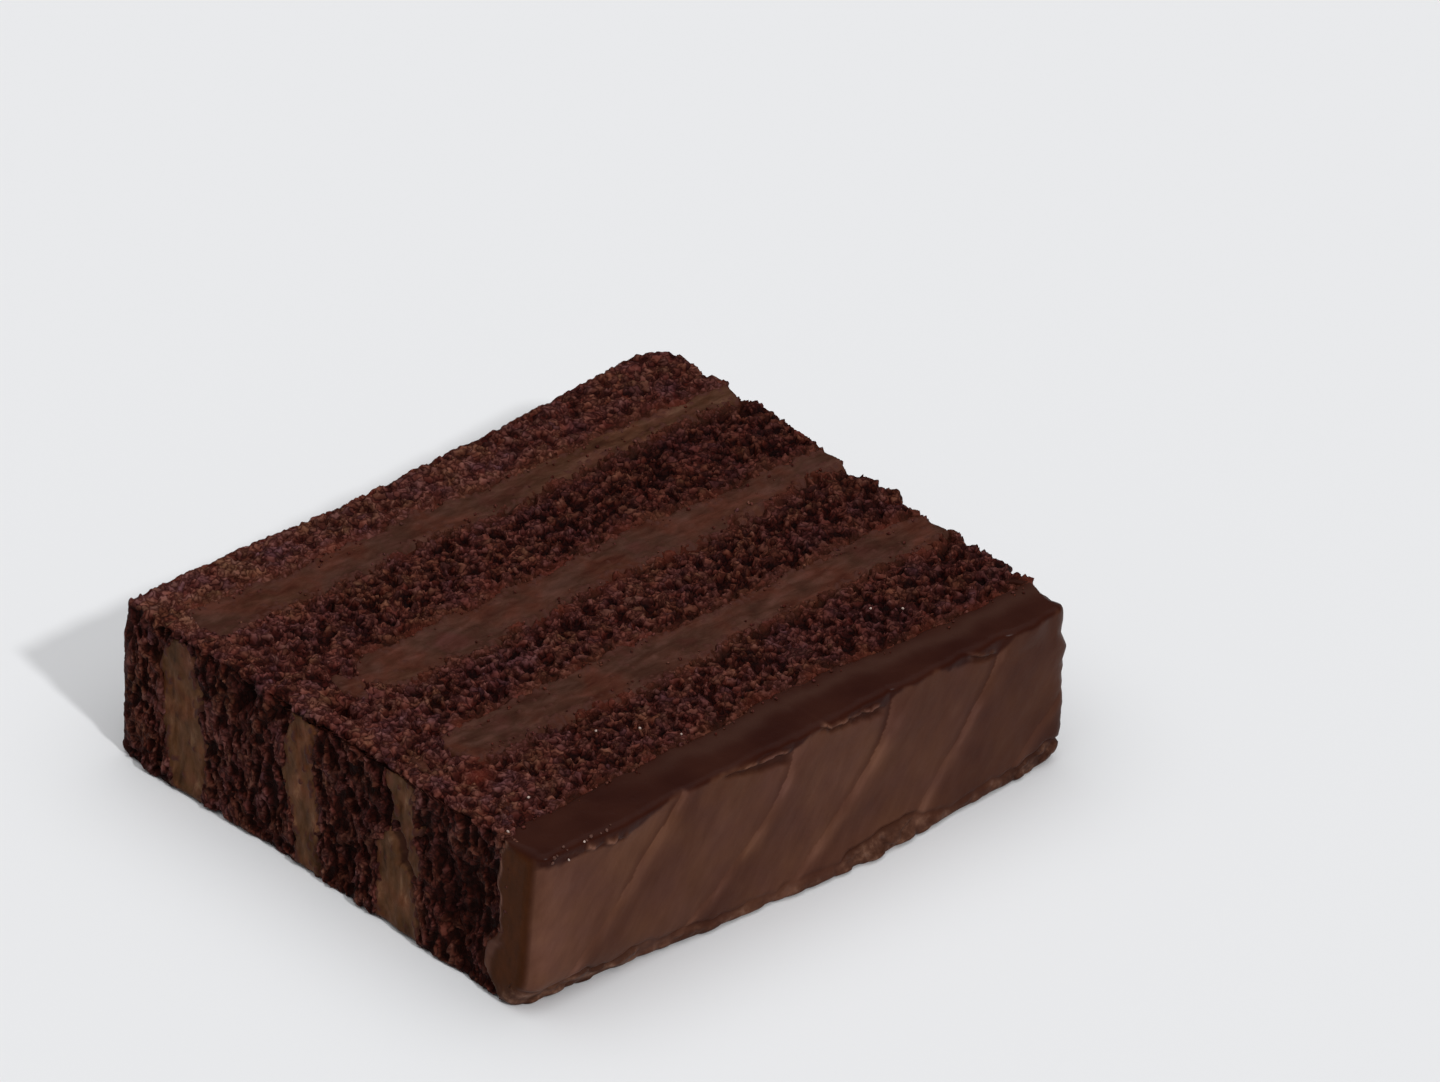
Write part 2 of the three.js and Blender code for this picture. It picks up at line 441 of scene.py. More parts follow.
crumbLook = {
    "grain": 0.00145,
    "bend": 0.0013,             # size of the bends in the grains
    "bent": 0.0028,             # and how far they are bent
    "drawnOut": (1, 1, 0.6),    # grains are longer upwards
    "patch": 0.005,
    "grit": 0.0004,
    "byCrumbShade": [(0, "#2a0c09"), (0.3, "#48221c"), (0.65, "#6a463f"), (1, "#8a6962")],     # painted shade: dark in the cells, lighter on the walls
    "byPatch": [(0.33, "#d8cce0"), (0.5, "#f0dcd8"), (0.67, "#ece4cc")],
    "byGrain": [(0, "#aca0ac"), (0.2, "#ecccc4"), (0.4, "#cac4b4"), (0.6, "#f4dcd0"), (0.8, "#d6ccd6"),
                (1, "#fceee2")],
    # Painted shade in the gaps between the grains
    "byGapShade": [(0, "#866866"), (0.24, "#ffffff")],
    # A pore is painted shade: a dark spot in a grain's middle where there is no hole
    "poreShare": 0.25,          # of the grains
    "poreDepth": 0.75,
    "poreShadeColour": "#260a07",
    "fudgeShare": 0.4,          # how much of the fudge's colour is taken on beside it
    "fudgeColour": "#4e2a1c",
    "rustColour": "#5c2218",
}


def spongeCrumbMaterial():
    # Dark cocoa sponge, baked and cut. A moist open crumb: matt and red, with painted shade that makes it
    # nearly black in its cells and a painted highlight that makes it lighter and greyer on the walls between
    # them. Its grains, 1 to 1.5 mm across, differ from purple over pink to olive, have painted shade in the
    # gaps between them, and some have a pore in the middle, a dark spot of painted shade. The knife drew them
    # out upwards on the upright sides. Where it touches fudge it is warmer.
    material, tree, height, tint, rust = newMaterial(
        "cocoaSpongeCutCrumb", "crumbShade", "fudgeTint", "rustSpot")
    look = crumbLook
    place = addNode(tree, "ShaderNodeTexCoord", {})
    upright = addNode(tree, "ShaderNodeMapping", {"Scale": look["drawnOut"]}, [("Vector", place, "Object")])
    bend = addNode(tree, "ShaderNodeTexNoise", {"Scale": 1 / look["bend"], "Detail": 1.0},
                   [("Vector", place, "Object")])
    bent = addNode(tree, "ShaderNodeVectorMath",
                   {"operation": "MULTIPLY_ADD", "Vector_001": [look["bent"]] * 3},
                   [("Vector", bend, "Color"), ("Vector_002", upright, "Vector")])
    grains = addNode(tree, "ShaderNodeTexVoronoi", {"Scale": 1 / look["grain"]}, [("Vector", bent, "Vector")])
    gaps = addNode(tree, "ShaderNodeTexVoronoi", {"feature": "DISTANCE_TO_EDGE", "Scale": 1 / look["grain"]},
                   [("Vector", bent, "Vector")])
    draws = addNode(tree, "ShaderNodeSeparateColor", {}, [("Color", grains, "Color")])
    patches = addNode(tree, "ShaderNodeTexNoise", {"Scale": 1 / look["patch"], "Detail": 2.0},
                      [("Vector", place, "Object")])
    colour = addNode(tree, "ShaderNodeValToRGB", {"stops": look["byCrumbShade"]}, [("Fac", height, "Fac")])
    output = "Color"
    drivers = (("byPatch", patches, "Fac"), ("byGrain", draws, "Red"), ("byGapShade", gaps, "Distance"))
    for key, source, driver in drivers:
        shade = addNode(tree, "ShaderNodeValToRGB", {"stops": look[key]}, [("Fac", source, driver)])
        colour = addNode(tree, "ShaderNodeMix", multiply,
                         [("A_Color", colour, output), ("B_Color", shade, "Color")])
        output = "Result_Color"
    # Painted shade for the pores, in the middle of some grains
    inMiddle = addNode(tree, "ShaderNodeMapRange",
                       {"From Min": 0.14, "From Max": 0.34, "To Min": look["poreDepth"], "To Max": 0.0},
                       [("Value", grains, "Distance")])
    isPore = addNode(tree, "ShaderNodeMath", {"operation": "LESS_THAN", "Value_001": look["poreShare"]},
                     [("Value", draws, "Green")])
    pore = addNode(tree, "ShaderNodeMath", {"operation": "MULTIPLY"},
                   [("Value", inMiddle, "Result"), ("Value_001", isPore, "Value")])
    someTint = addNode(tree, "ShaderNodeMath", {"operation": "MULTIPLY", "Value_001": look["fudgeShare"]},
                       [("Value", tint, "Fac")])
    for key, share, driver in (("poreShadeColour", pore, "Value"), ("fudgeColour", someTint, "Value"),
                               ("rustColour", rust, "Fac")):
        colour = addNode(tree, "ShaderNodeMix", {"data_type": "RGBA", "B_Color": linear(look[key])},
                         [("Factor_Float", share, driver), ("A_Color", colour, "Result_Color")])
    raised = addNode(tree, "ShaderNodeMapRange", {"From Max": 0.25}, [("Value", gaps, "Distance")])
    grainBump = addNode(tree, "ShaderNodeBump", {"Strength": 0.5, "Distance": 0.0002},
                        [("Height", raised, "Result")])
    grit = addNode(tree, "ShaderNodeTexNoise", {"Scale": 1 / look["grit"], "Detail": 2.0, "Roughness": 0.6},
                   [("Vector", place, "Object")])
    bump = addNode(tree, "ShaderNodeBump", {"Strength": 0.15, "Distance": 0.0002},
                   [("Height", grit, "Fac"), ("Normal", grainBump, "Normal")])
    surface = addNode(tree, "ShaderNodeBsdfPrincipled", {"Roughness": 0.65, "Specular IOR Level": 0.04},
                      [("Base Color", colour, "Result_Color"), ("Normal", bump, "Normal")])
    addNode(tree, "ShaderNodeOutputMaterial", {}, [("Surface", surface, "BSDF")])
    return material


fillingLook = {
    "smear": 0.0021,
    "dragged": (0.4, 1, 0.45),  # smears are longer along the layers and upwards
    "cloud": 0.009,
    "grain": 0.0006,
    "cutColour": [(0.3, "#391c14"), (0.5, "#472b22"), (0.7, "#563831")],
    "filmColour": [(0.3, "#3a2210"), (0.45, "#573822"), (0.6, "#684632"), (0.72, "#84624a")],
    "byCloud": [(0.3, "#f2dce0"), (0.42, "#dadad0"), (0.5, "#f4eee6"), (0.58, "#ffe2d4"), (0.7, "#ece6d2")],
    "crumbColour": "#452720",
}


def fudgeFillingMaterial():
    # Chocolate fudge, spread soft and then cut cold. Satin and blotchy, smeared where the knife dragged it,
    # with crumbs stuck to it, and a paler, more olive film where it was dragged down the left end.
    material, tree, film, crumbs = newMaterial("chocolateFudgeKnifeSmeared", "draggedFilm", "stuckCrumb")
    look = fillingLook
    place = addNode(tree, "ShaderNodeTexCoord", {})
    streaks = addNode(tree, "ShaderNodeMapping", {"Scale": look["dragged"]}, [("Vector", place, "Object")])
    smear = addNode(tree, "ShaderNodeTexNoise",
                    {"Scale": 1 / look["smear"], "Detail": 4.0, "Roughness": 0.62, "Distortion": 0.4},
                    [("Vector", streaks, "Vector")])
    cloud = addNode(tree, "ShaderNodeTexNoise", {"Scale": 1 / look["cloud"], "Detail": 3.0},
                    [("Vector", place, "Object")])
    cutColour = addNode(tree, "ShaderNodeValToRGB", {"stops": look["cutColour"]}, [("Fac", smear, "Fac")])
    filmColour = addNode(tree, "ShaderNodeValToRGB", {"stops": look["filmColour"]}, [("Fac", smear, "Fac")])
    byCloud = addNode(tree, "ShaderNodeValToRGB", {"stops": look["byCloud"]}, [("Fac", cloud, "Fac")])
    spread = addNode(tree, "ShaderNodeMix", {"data_type": "RGBA"},
                     [("Factor_Float", film, "Fac"), ("A_Color", cutColour, "Color"),
                      ("B_Color", filmColour, "Color")])
    clouded = addNode(tree, "ShaderNodeMix", multiply,
                      [("A_Color", spread, "Result_Color"), ("B_Color", byCloud, "Color")])
    colour = addNode(tree, "ShaderNodeMix", {"data_type": "RGBA", "B_Color": linear(look["crumbColour"])},
                     [("Factor_Float", crumbs, "Fac"), ("A_Color", clouded, "Result_Color")])
    grain = addNode(tree, "ShaderNodeTexNoise", {"Scale": 1 / look["grain"], "Detail": 2.0},
                    [("Vector", place, "Object")])
    bump = addNode(tree, "ShaderNodeBump", {"Strength": 0.3, "Distance": 0.0002}, [("Height", grain, "Fac")])
    surface = addNode(tree, "ShaderNodeBsdfPrincipled", {"Roughness": 0.5, "Specular IOR Level": 0.04},
                      [("Base Color", colour, "Result_Color"), ("Normal", bump, "Normal")])
    addNode(tree, "ShaderNodeOutputMaterial", {}, [("Surface", surface, "BSDF")])
    return material


icingLook = {
    "cloud": 0.009,
    "mottle": 0.0016,
    "mottleTurn": 36,           # degrees from upright, as the strokes lean
    "mottleLength": 3.5,
    "grain": 0.0009,
    "clump": 0.002,             # crumbly icing at the foot
    "skinColour": [(0, "#3d2015"), (0.5, "#5f3f31"), (1, "#7e5a4b")],      # painted shade in the grooves to painted highlight on the crests
    "byCloud": [(0.35, "#f4ecf4"), (0.65, "#fff8ec")],
    "byMottle": [(0.3, "#e4dedb"), (0.7, "#ffffff")],
    "cutColour": [(0.3, "#2a0f09"), (0.7, "#341810")],
    "endColour": [(0.3, "#371902"), (0.7, "#462106")],
    "clumpColour": [(0.35, "#2c170f"), (0.5, "#4c3126"), (0.6, "#6e4e3e"), (0.7, "#927060")],
    "paleBandColour": "#3e261e",
    "roughness": (0.3, 0.5),    # where cut, and on the dried skin
}


def fudgeIcingMaterial():
    # Fudge icing. Spread with a spatula and left to dry, its outer face is a satin milk-brown skin, with a
    # painted highlight along the crests of the strokes and painted shade beyond them and in the grooves.
    # Where the knife cut it, it is darker, moist and glossier, with a paler band along the crumb. The left
    # end is a thin olive-brown smear.
    material, tree, skin, tone, pale, end, foot, matt = newMaterial(
        "fudgeIcingSpatulaSpread", "driedSkin", "strokeShadeAndTone", "paleBand", "endFilm", "footCrumb", "mattFace")
    look = icingLook
    place = addNode(tree, "ShaderNodeTexCoord", {})
    cloud = addNode(tree, "ShaderNodeTexNoise", {"Scale": 1 / look["cloud"], "Detail": 2.0},
                    [("Vector", place, "Object")])
    along = addNode(tree, "ShaderNodeMapping",
                    {"vector_type": "TEXTURE", "Rotation": (0, math.radians(look["mottleTurn"]), 0),
                     "Scale": (1, 1, look["mottleLength"])}, [("Vector", place, "Object")])
    mottle = addNode(tree, "ShaderNodeTexNoise",
                     {"Scale": 1 / look["mottle"], "Detail": 4.0, "Roughness": 0.6},
                     [("Vector", along, "Vector")])
    clumps = addNode(tree, "ShaderNodeTexNoise",
                     {"Scale": 1 / look["clump"], "Detail": 4.0, "Roughness": 0.6},
                     [("Vector", place, "Object")])
    drivers = (("skinColour", tone), ("byCloud", cloud), ("byMottle", mottle), ("cutColour", cloud),
               ("endColour", mottle), ("clumpColour", clumps))
    skinColour, byCloud, byMottle, cutColour, endColour, clumpColour = [
        addNode(tree, "ShaderNodeValToRGB", {"stops": look[key]}, [("Fac", driver, "Fac")])
        for key, driver in drivers]
    patchy = addNode(tree, "ShaderNodeMix", multiply,
                     [("A_Color", skinColour, "Color"), ("B_Color", byCloud, "Color")])
    mottled = addNode(tree, "ShaderNodeMix", multiply,
                      [("A_Color", patchy, "Result_Color"), ("B_Color", byMottle, "Color")])
    # A paler band along the crumb on the cut
    smeared = addNode(tree, "ShaderNodeMix", {"data_type": "RGBA", "B_Color": linear(look["paleBandColour"])},
                      [("Factor_Float", pale, "Fac"), ("A_Color", cutColour, "Color")])
    colour = smeared
    for share, over, output in ((skin, mottled, "Result_Color"), (end, endColour, "Color"),
                                (foot, clumpColour, "Color")):
        colour = addNode(tree, "ShaderNodeMix", {"data_type": "RGBA"},
                         [("Factor_Float", share, "Fac"), ("A_Color", colour, "Result_Color"),
                          ("B_Color", over, output)])
    gloss = addNode(tree, "ShaderNodeMapRange",
                    {"To Min": look["roughness"][0], "To Max": look["roughness"][1]},
                    [("Value", matt, "Fac")])
    grain = addNode(tree, "ShaderNodeTexNoise", {"Scale": 1 / look["grain"], "Detail": 3.0},
                    [("Vector", place, "Object")])
    bump = addNode(tree, "ShaderNodeBump", {"Strength": 0.22, "Distance": 0.0002}, [("Height", grain, "Fac")])
    surface = addNode(tree, "ShaderNodeBsdfPrincipled", {"Specular IOR Level": 0.05},
                      [("Base Color", colour, "Result_Color"), ("Roughness", gloss, "Result"),
                       ("Normal", bump, "Normal")])
    addNode(tree, "ShaderNodeOutputMaterial", {}, [("Surface", surface, "BSDF")])
    return material


spongeMaterial = spongeCrumbMaterial()
fillingMaterial = fudgeFillingMaterial()
icingMaterial = fudgeIcingMaterial()

# Sponges

crumb = {
    "spacing": 0.26,        # between grid points
    "bend": (0.5, 2.4),     # how far the cells are bent out of shape, and over what length
    "cell": 1.8,            # air cells cut open by the knife
    "cellShape": (1.9, 0.53),               # length and greatest radius, as shares
    "bubble": 1.0,          # small cells in the walls between them
    "bubbleShape": (1.6, 0.5),
    "flake": 1.0,           # torn flakes on the walls
    "ridge": 0.8,           # thin ridges that run between the cells
    "relief": 1.0,          # depth of the cells
    "flakeRelief": 0.24,
    "ridgeRelief": 0.3,
    "cavity": 4.6,          # larger air holes
    "cavityShape": (1.5, 0.5, 0.4),         # and what share of the places has one
    "cavityDepth": 0.8,
    "swell": (0.35, 5.5),   # slow rise and fall of the cut
    "proud": 0.2,           # the highest crumbs stand this far out of the frame's face
    "openness": [0.62, 1, 0.97, 0.97],      # of each sponge, from the cake's base
    "leftClosed": (0.25, 25, 47),           # the cut is that much less open towards the left end
    "dimmed": [0.12, 0.11, 0.07, 0.05],     # how much darker each is towards the right
    "hollowShade": 0.25,    # painted shade: how much darker the crumb is for each millimetre of a hollow's depth
    "tuck": 2.2,            # how far a sponge runs in under its neighbour's edge
    "sag": (0.55, 0.25),    # how steeply it sinks there, and how much more steeply with each millimetre
    "footRelief": 0.35,     # relief along the foot, against the cut's
    "endRelief": 0.85,      # and on the left end
    "endPits": (0.6, 2.2),  # deeper pits in the left end, with painted shade in them
    # how much stronger the painted shade and highlight are on the left end
    "endContrast": 0.4,
    "endWarmth": 0.15,      # how much of the fudge's tint the left end has
    "tornEnd": [(1.1, 4.5, 90), (0.6, 2.0, 91)],        # the right end
    "crustRound": 1.5,      # along the base's long edges
    "crustCorners": (1.6, 8.0),             # rounding of its upright corners, left and right
    "crustReach": (1.0, 1.8),               # how far it stands out of the frame's face near them
    "crustRelief": 0.35,
    "edgeRust": 0.35,       # how red-brown the baked edge is
    "crustRust": 0.12,      # and the base itself
    "seamRust": (0.35, 4.0),                # and the crumb along the fudge, in patches
    "rustAt": (-41.2, -22.4),   # a red-brown spot on the cut
    "rustSize": 1.8,
    "rustSpot": 0.65,
}

hollows = [
    {"at": (-44.7, 3.4, 27), "size": (1.1, 2.8, 1.5), "depth": 2.6},        # in the cut, by the left end
    {"at": (-51, 19.2, 23), "size": (3, 2.3, 2.3), "depth": 2.0},           # in the left end, near its top
    {"at": (-51, 10.2, 25.5), "size": (3, 1.2, 1.5), "depth": 1.5},
    {"at": (-51, -29.5, 14), "size": (3, 5.5, 9), "depth": 1.3},            # sponge 4's left end is sunk
    {"at": (53, 3.4, 27), "size": (2.5, 1.4, 6), "depth": 2.2},             # notch in the right end
]


def crumbRelief(points, seed, openness):
    # Depth below the cut, in millimetres. The knife opens a foam of egg-shaped cells, bent by slow noise,
    # with small cells between large ones, and leaves torn flakes and thin ridges on the walls. With it
    # comes a painted shade and highlight, 0 to 1: painted shade darkens the cells, and a painted highlight
    # lightens the raised flakes and ridges and the cells' rims.
    bendBy, bendWave = crumb["bend"]
    swellBy, swellWave = crumb["swell"]
    bend = np.stack([softNoise(points, bendWave, seed + k) for k in (5, 6, 7)], axis=-1)
    bent = points + bendBy * bend
    cells = lumpNoise(bent, crumb["cell"], seed, *crumb["cellShape"])
    bubbles = lumpNoise(bent, crumb["bubble"], seed + 1, *crumb["bubbleShape"])
    flakes = flakeNoise(bent, crumb["flake"], seed + 2)
    ridges = 0.5 - np.minimum(np.abs(softNoise(bent, crumb["ridge"], seed + 8)) / 0.4, 1)
    cavity = lumpNoise(points + bend, crumb["cavity"], seed + 3, *crumb["cavityShape"])
    pit = openness * np.maximum(fade(cells, 0.12, 0.75), 0.6 * fade(bubbles, 0.15, 0.8))
    # The cells' rims, which get a painted highlight
    rim = fade(cells, 0, 0.12) * fade(-cells, -0.42, -0.2)
    lifted = (crumb["flakeRelief"] * flakes + crumb["ridgeRelief"] * ridges) * (1 - 0.5 * pit)
    depth = crumb["relief"] * pit - lifted + openness * crumb["cavityDepth"] * fade(cavity, 0.3, 0.8)
    depth = depth + swellBy * (1 - softNoise(points, swellWave, seed + 4)) / 2 - crumb["proud"]
    # Painted shade in the cells, painted highlight on raised flakes, ridges and rims
    height = np.clip(0.7 - 0.85 * pit + 0.7 * lifted + 0.15 * rim, 0, 1)
    return depth, height


def hollowDepth(x, y, z):
    # A bell-shaped dip round each place in the list
    depth = np.zeros_like(x)
    for hollow in hollows:
        apart = [(value - centre) / size
                 for value, centre, size in zip((x, y, z), hollow["at"], hollow["size"])]
        depth += hollow["depth"] * np.exp(-sum(part * part for part in apart))
    return depth


def crustShape(x, z):
    # How far the baked base stands out of the frame's face: more towards the far corner, and at the foot
    # of the near one, and then back by an upright quarter circle at each corner
    nearReach, farReach = crumb["crustReach"]
    reach = nearReach * fade(-x, 44, 51) * fade(slab["thickness"] - z, 2, 8) + farReach * fade(x, 10, 42)
    radius = np.where(x < 0, *crumb["crustCorners"])
    share = np.clip(1 - (slab["halfLength"] - np.abs(x)) / radius, 0, 1)
    return reach - radius * (1 - np.sqrt(1 - share**2))


def crumbRust(x, y, points, onTop, tint):
    # How red-brown the crumb is: in one bell-shaped spot on the cut, and in patches along the fudge
    (rustX, rustY), size = crumb["rustAt"], crumb["rustSize"]
    spot = np.exp(-((x - rustX) ** 2 + (y - rustY) ** 2) / size**2) * onTop
    seamRust, wave = crumb["seamRust"]
    return np.maximum(crumb["rustSpot"] * spot, seamRust * tint * fade(softNoise(points, wave, 95), 0, 0.6))


def buildSponge(number):
    # The layer's grid between the frame's two faces, tucked in under its neighbours, less the crumb's depth
    # along the outline's normal
    name = f"sponge_{number}"
    icingSide, baseSide = icingSides[name], baseSides[name]
    hasCrust = number == 1
    edge = crumb["crustRound"] if hasCrust else 0.0
    blockX, blockZ, normalX, normalZ, share, turn, sink = layerGrid(
        crumb["spacing"], (icingSide, baseSide), crumb["tuck"], (7, 28) if hasCrust else (0, 4), edge)
    low = readFace(icingSide, blockX, blockZ)
    high = readFace(baseSide, blockX, blockZ) + (crustShape(blockX, blockZ) if hasCrust else 0)
    lowCover = crumbCover(number, "baseSide", blockX, blockZ)
    highCover = crumbCover(number - 1, "icingSide", blockX, blockZ)
    lowEdge = low - np.where(sink > 0, 0, crumb["tuck"] + lowCover)
    highEdge = high - edge if hasCrust else high + np.where(sink > 0, 0, crumb["tuck"] + highCover)
    y = lowEdge + (highEdge - lowEdge) * share + edge * np.sin(turn)
    x = endX(blockX, np.clip(y, stationsY[0] - 3, stationsY[-1] + 3), blockZ)
    z = blockZ

    points = grainSpace(x, y, z)
    onTop = fade(normalZ * np.cos(turn), 0.3, 0.9)
    onLeft, onRight = (fade(side * normalX * np.cos(turn) * (sink == 0), 0.3, 0.9) for side in (-1, 1))
    openness = crumb["openness"][number - 1]
    closed, *closedFrom = crumb["leftClosed"]
    openness = (openness + (1 - openness) * onLeft) * (1 - closed * onTop * fade(-x, *closedFrom))
    depth, height = crumbRelief(points, 10 * number, openness)
    depth = depth * (1 + (crumb["endRelief"] - 1) * onLeft)
    depth = depth * (crumb["footRelief"] + (1 - crumb["footRelief"]) * fade(z, 0, 1.5))
    sunk = hollowDepth(x, y, z)
    depth = depth + onRight * (mixedNoise(points, crumb["tornEnd"]) - 0.4) + sunk
    # Painted shade in the hollows; crumb that is less open is lighter
    height = height + 0.5 * (1 - openness) * onTop - crumb["hollowShade"] * sunk
    height = height - crumb["dimmed"][number - 1] * fade(x, 0, 30) * onTop
    pitDepth, pitWave = crumb["endPits"]
    pits = pitDepth * onLeft * fade(softNoise(points, pitWave, 97 + number), 0, 0.6)
    depth = depth + pits
    # On the left end the painted shade and highlight are stronger, and the pits get painted shade
    height = np.clip(height + crumb["endContrast"] * (onLeft * (height - 0.55) - pits), 0, 1)
    crust = fade(np.sin(turn), 0.2, 0.9)
    depth = depth * (1 - crust) + crust * crumb["crustRelief"] * depth / crumb["relief"]

    # How far a point is past the border with the next layer, where the sponge sinks
    past = -(y - low + lowCover - seamWobble(x, z, 2 * number))
    if not hasCrust:
        past = np.maximum(past, -(high + highCover - y - seamWobble(x, z, 2 * number - 1)))
    sag = crumb["sag"][0] * np.clip(past, 0, None) + crumb["sag"][1] * np.clip(past, 0, None) ** 2
    hidden = (sink > 0) & (crust < 0.5)
    depth = np.where(hidden, 0, depth + sag)
    x = x - normalX * np.cos(turn) * depth
    y = y - np.sin(turn) * depth
    z = np.clip(z - normalZ * np.cos(turn) * depth, slab["floor"], slab["thickness"] + slab["highest"])
    rings = np.stack(np.broadcast_arrays(x, y, z), axis=-1)

    tint = fade(past, -3, 0.5) * (1 - np.clip(lowCover + highCover, 0, 1))
    tint = np.maximum(tint, crumb["endWarmth"] * onLeft)
    rust = crumbRust(x, y, points, onTop, tint * (1 - onLeft))
    if hasCrust:
        nearEdge = fade(y - high, -1.4, -0.6) * fade(-x, -40, 0) * onTop
        rust = np.maximum(rust, np.maximum(crumb["edgeRust"] * nearEdge, crumb["crustRust"] * crust))
    attributes = {"crumbShade": height, "fudgeTint": tint, "rustSpot": rust}
    piece = meshFromRings(f"{name}_crumb", rings, attributes, spongeMaterial)
    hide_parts(name)
    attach(piece, "root")


for number in (1, 2, 3, 4):
    buildSponge(number)
print("sponges done")

# Fillings

fudge = {
    "spacing": 0.29,
    "sunk": 0.3,        # how far the fudge lies below the frame's face
    "endSunk": 0.45,    # the same at the left end
    "tornSunk": 2.1,    # and at the right end
    "torn": (0.5, 3.0),     # how uneven it is there
    "spill": 2.0,       # how far it runs in over the sponges' edges
    "fall": 0.9,        # how steeply it sinks there
    "deepest": 2.6,     # how far in it goes on sinking
    "dragged": (0.3, 1, 0.3),           # the knife's drag marks are longer along the layers and upwards
    "smear": (0.14, 1.3, 200),          # their depth, width and seed
    "uneven": [(0.15, 5.0, 210), (0.1, 1.6, 250), (0.07, 0.75, 240)],
    "stuckCrumb": 1.1,  # crumbs that the knife dragged onto it
    "stuckHeight": 0.45,
    "bare": (0.15, 0.65),   # share of a crumb that is buried at the border, and how much more in the middle
    "paleEnd": [0.32, 0, 0],            # how pale each filling's cut is at the right
    # A crack in a filling's left end, from one Y and Z to another
    "crack": {"filling": 3, "from": (-13.3, 17), "to": (-19.8, 8), "width": 0.7, "depth": 1.4},
    "crackStray": [(0.9, 1.7, 260), (0.4, 0.6, 261)],
}


def crackShare(y, z):
    # 1 along a crack that strays from a straight line, falling off round it like a bell
    start, end = (np.array(fudge["crack"][key], float) for key in ("from", "to"))
    length = np.linalg.norm(end - start)
    alongY, alongZ = (end - start) / length
    along = (y - start[0]) * alongY + (z - start[1]) * alongZ
    spot = np.stack([along, 0 * along, 0 * along], axis=-1)
    across = (y - start[0]) * alongZ - (z - start[1]) * alongY + mixedNoise(spot, fudge["crackStray"])
    beyond = np.clip(np.abs(along - length / 2) - length / 2, 0, None)
    width = fudge["crack"]["width"] * (1 + 0.5 * softNoise(spot, 1.3, 262))
    return np.exp(-(across**2 + beyond**2) / width**2)


def buildFilling(number):
    # The layer's grid, a little below the frame's face, sinking where crumb lies over it. Stuck crumbs are
    # the tips of egg-shaped grains that stand out of it, fewer away from the borders.
    name = f"filling_{number}"
    icingSide, baseSide = icingSides[name], baseSides[name]
    blockX, blockZ, normalX, normalZ, share, _, sink = layerGrid(
        fudge["spacing"], (icingSide, baseSide), fudge["spill"])
    low = readFace(icingSide, blockX, blockZ)
    high = readFace(baseSide, blockX, blockZ)
    spill = np.where(sink > 0, 0, fudge["spill"])
    y = low - spill + (high - low + 2 * spill) * share
    x = endX(blockX, y, blockZ)
    z = blockZ
    spot = grainSpace(x, y, z)
    lowGap = y - low - crumbCover(number, "icingSide", blockX, z) + seamWobble(x, z, 2 * number + 1)
    highGap = high - y - crumbCover(number, "baseSide", blockX, z) + seamWobble(x, z, 2 * number)
    gap = np.minimum(lowGap, highGap)
    onLeft, onRight = (fade(side * normalX, 0.2, 0.8) for side in (-1, 1))
    uneven, tornWave = fudge["torn"]
    depth = fudge["sunk"] + (fudge["endSunk"] - fudge["sunk"]) * onLeft
    torn = 1 + uneven * softNoise(spot, tornWave, 220)
    depth = depth + (fudge["tornSunk"] - fudge["sunk"]) * onRight * torn
    dragged = np.stack(np.broadcast_arrays(x, y, z), axis=-1) * fudge["dragged"]
    depth = depth + mixedNoise(dragged, [fudge["smear"]], number) + mixedNoise(spot, fudge["uneven"], number)
    depth = depth + fudge["fall"] * np.clip(-gap, 0, fudge["deepest"])
    bare = fudge["bare"][0] + fudge["bare"][1] * fade(gap, -0.3, 2.2)
    crumbs = lumpNoise(spot, fudge["stuckCrumb"], 230 + number, 1.7, 0.5)
    stuck = np.clip(crumbs - bare, 0, None) / (1 - bare)
    crack = crackShare(y, z) * onLeft * (number == fudge["crack"]["filling"])
    depth = depth - fudge["stuckHeight"] * stuck + fudge["crack"]["depth"] * crack
    depth = np.where(sink > 0, 0, depth)
    x = x - normalX * depth
    z = np.clip(z - normalZ * depth, slab["floor"], None)
    rings = np.stack(np.broadcast_arrays(x, y, z), axis=-1)
    film = np.maximum(onLeft, fudge["paleEnd"][number - 1] * fade(x, -5, 30))
    # The crack takes the crumb's colour too, as painted shade in it
    attributes = {"draggedFilm": film, "stuckCrumb": np.maximum(fade(stuck, 0.0, 0.3), crack)}
    piece = meshFromRings(f"{name}_fudge", rings, attributes, fillingMaterial)
    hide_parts(name)
    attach(piece, "root")


for number in (1, 2, 3):
    buildFilling(number)
print("fillings done")

# Icing

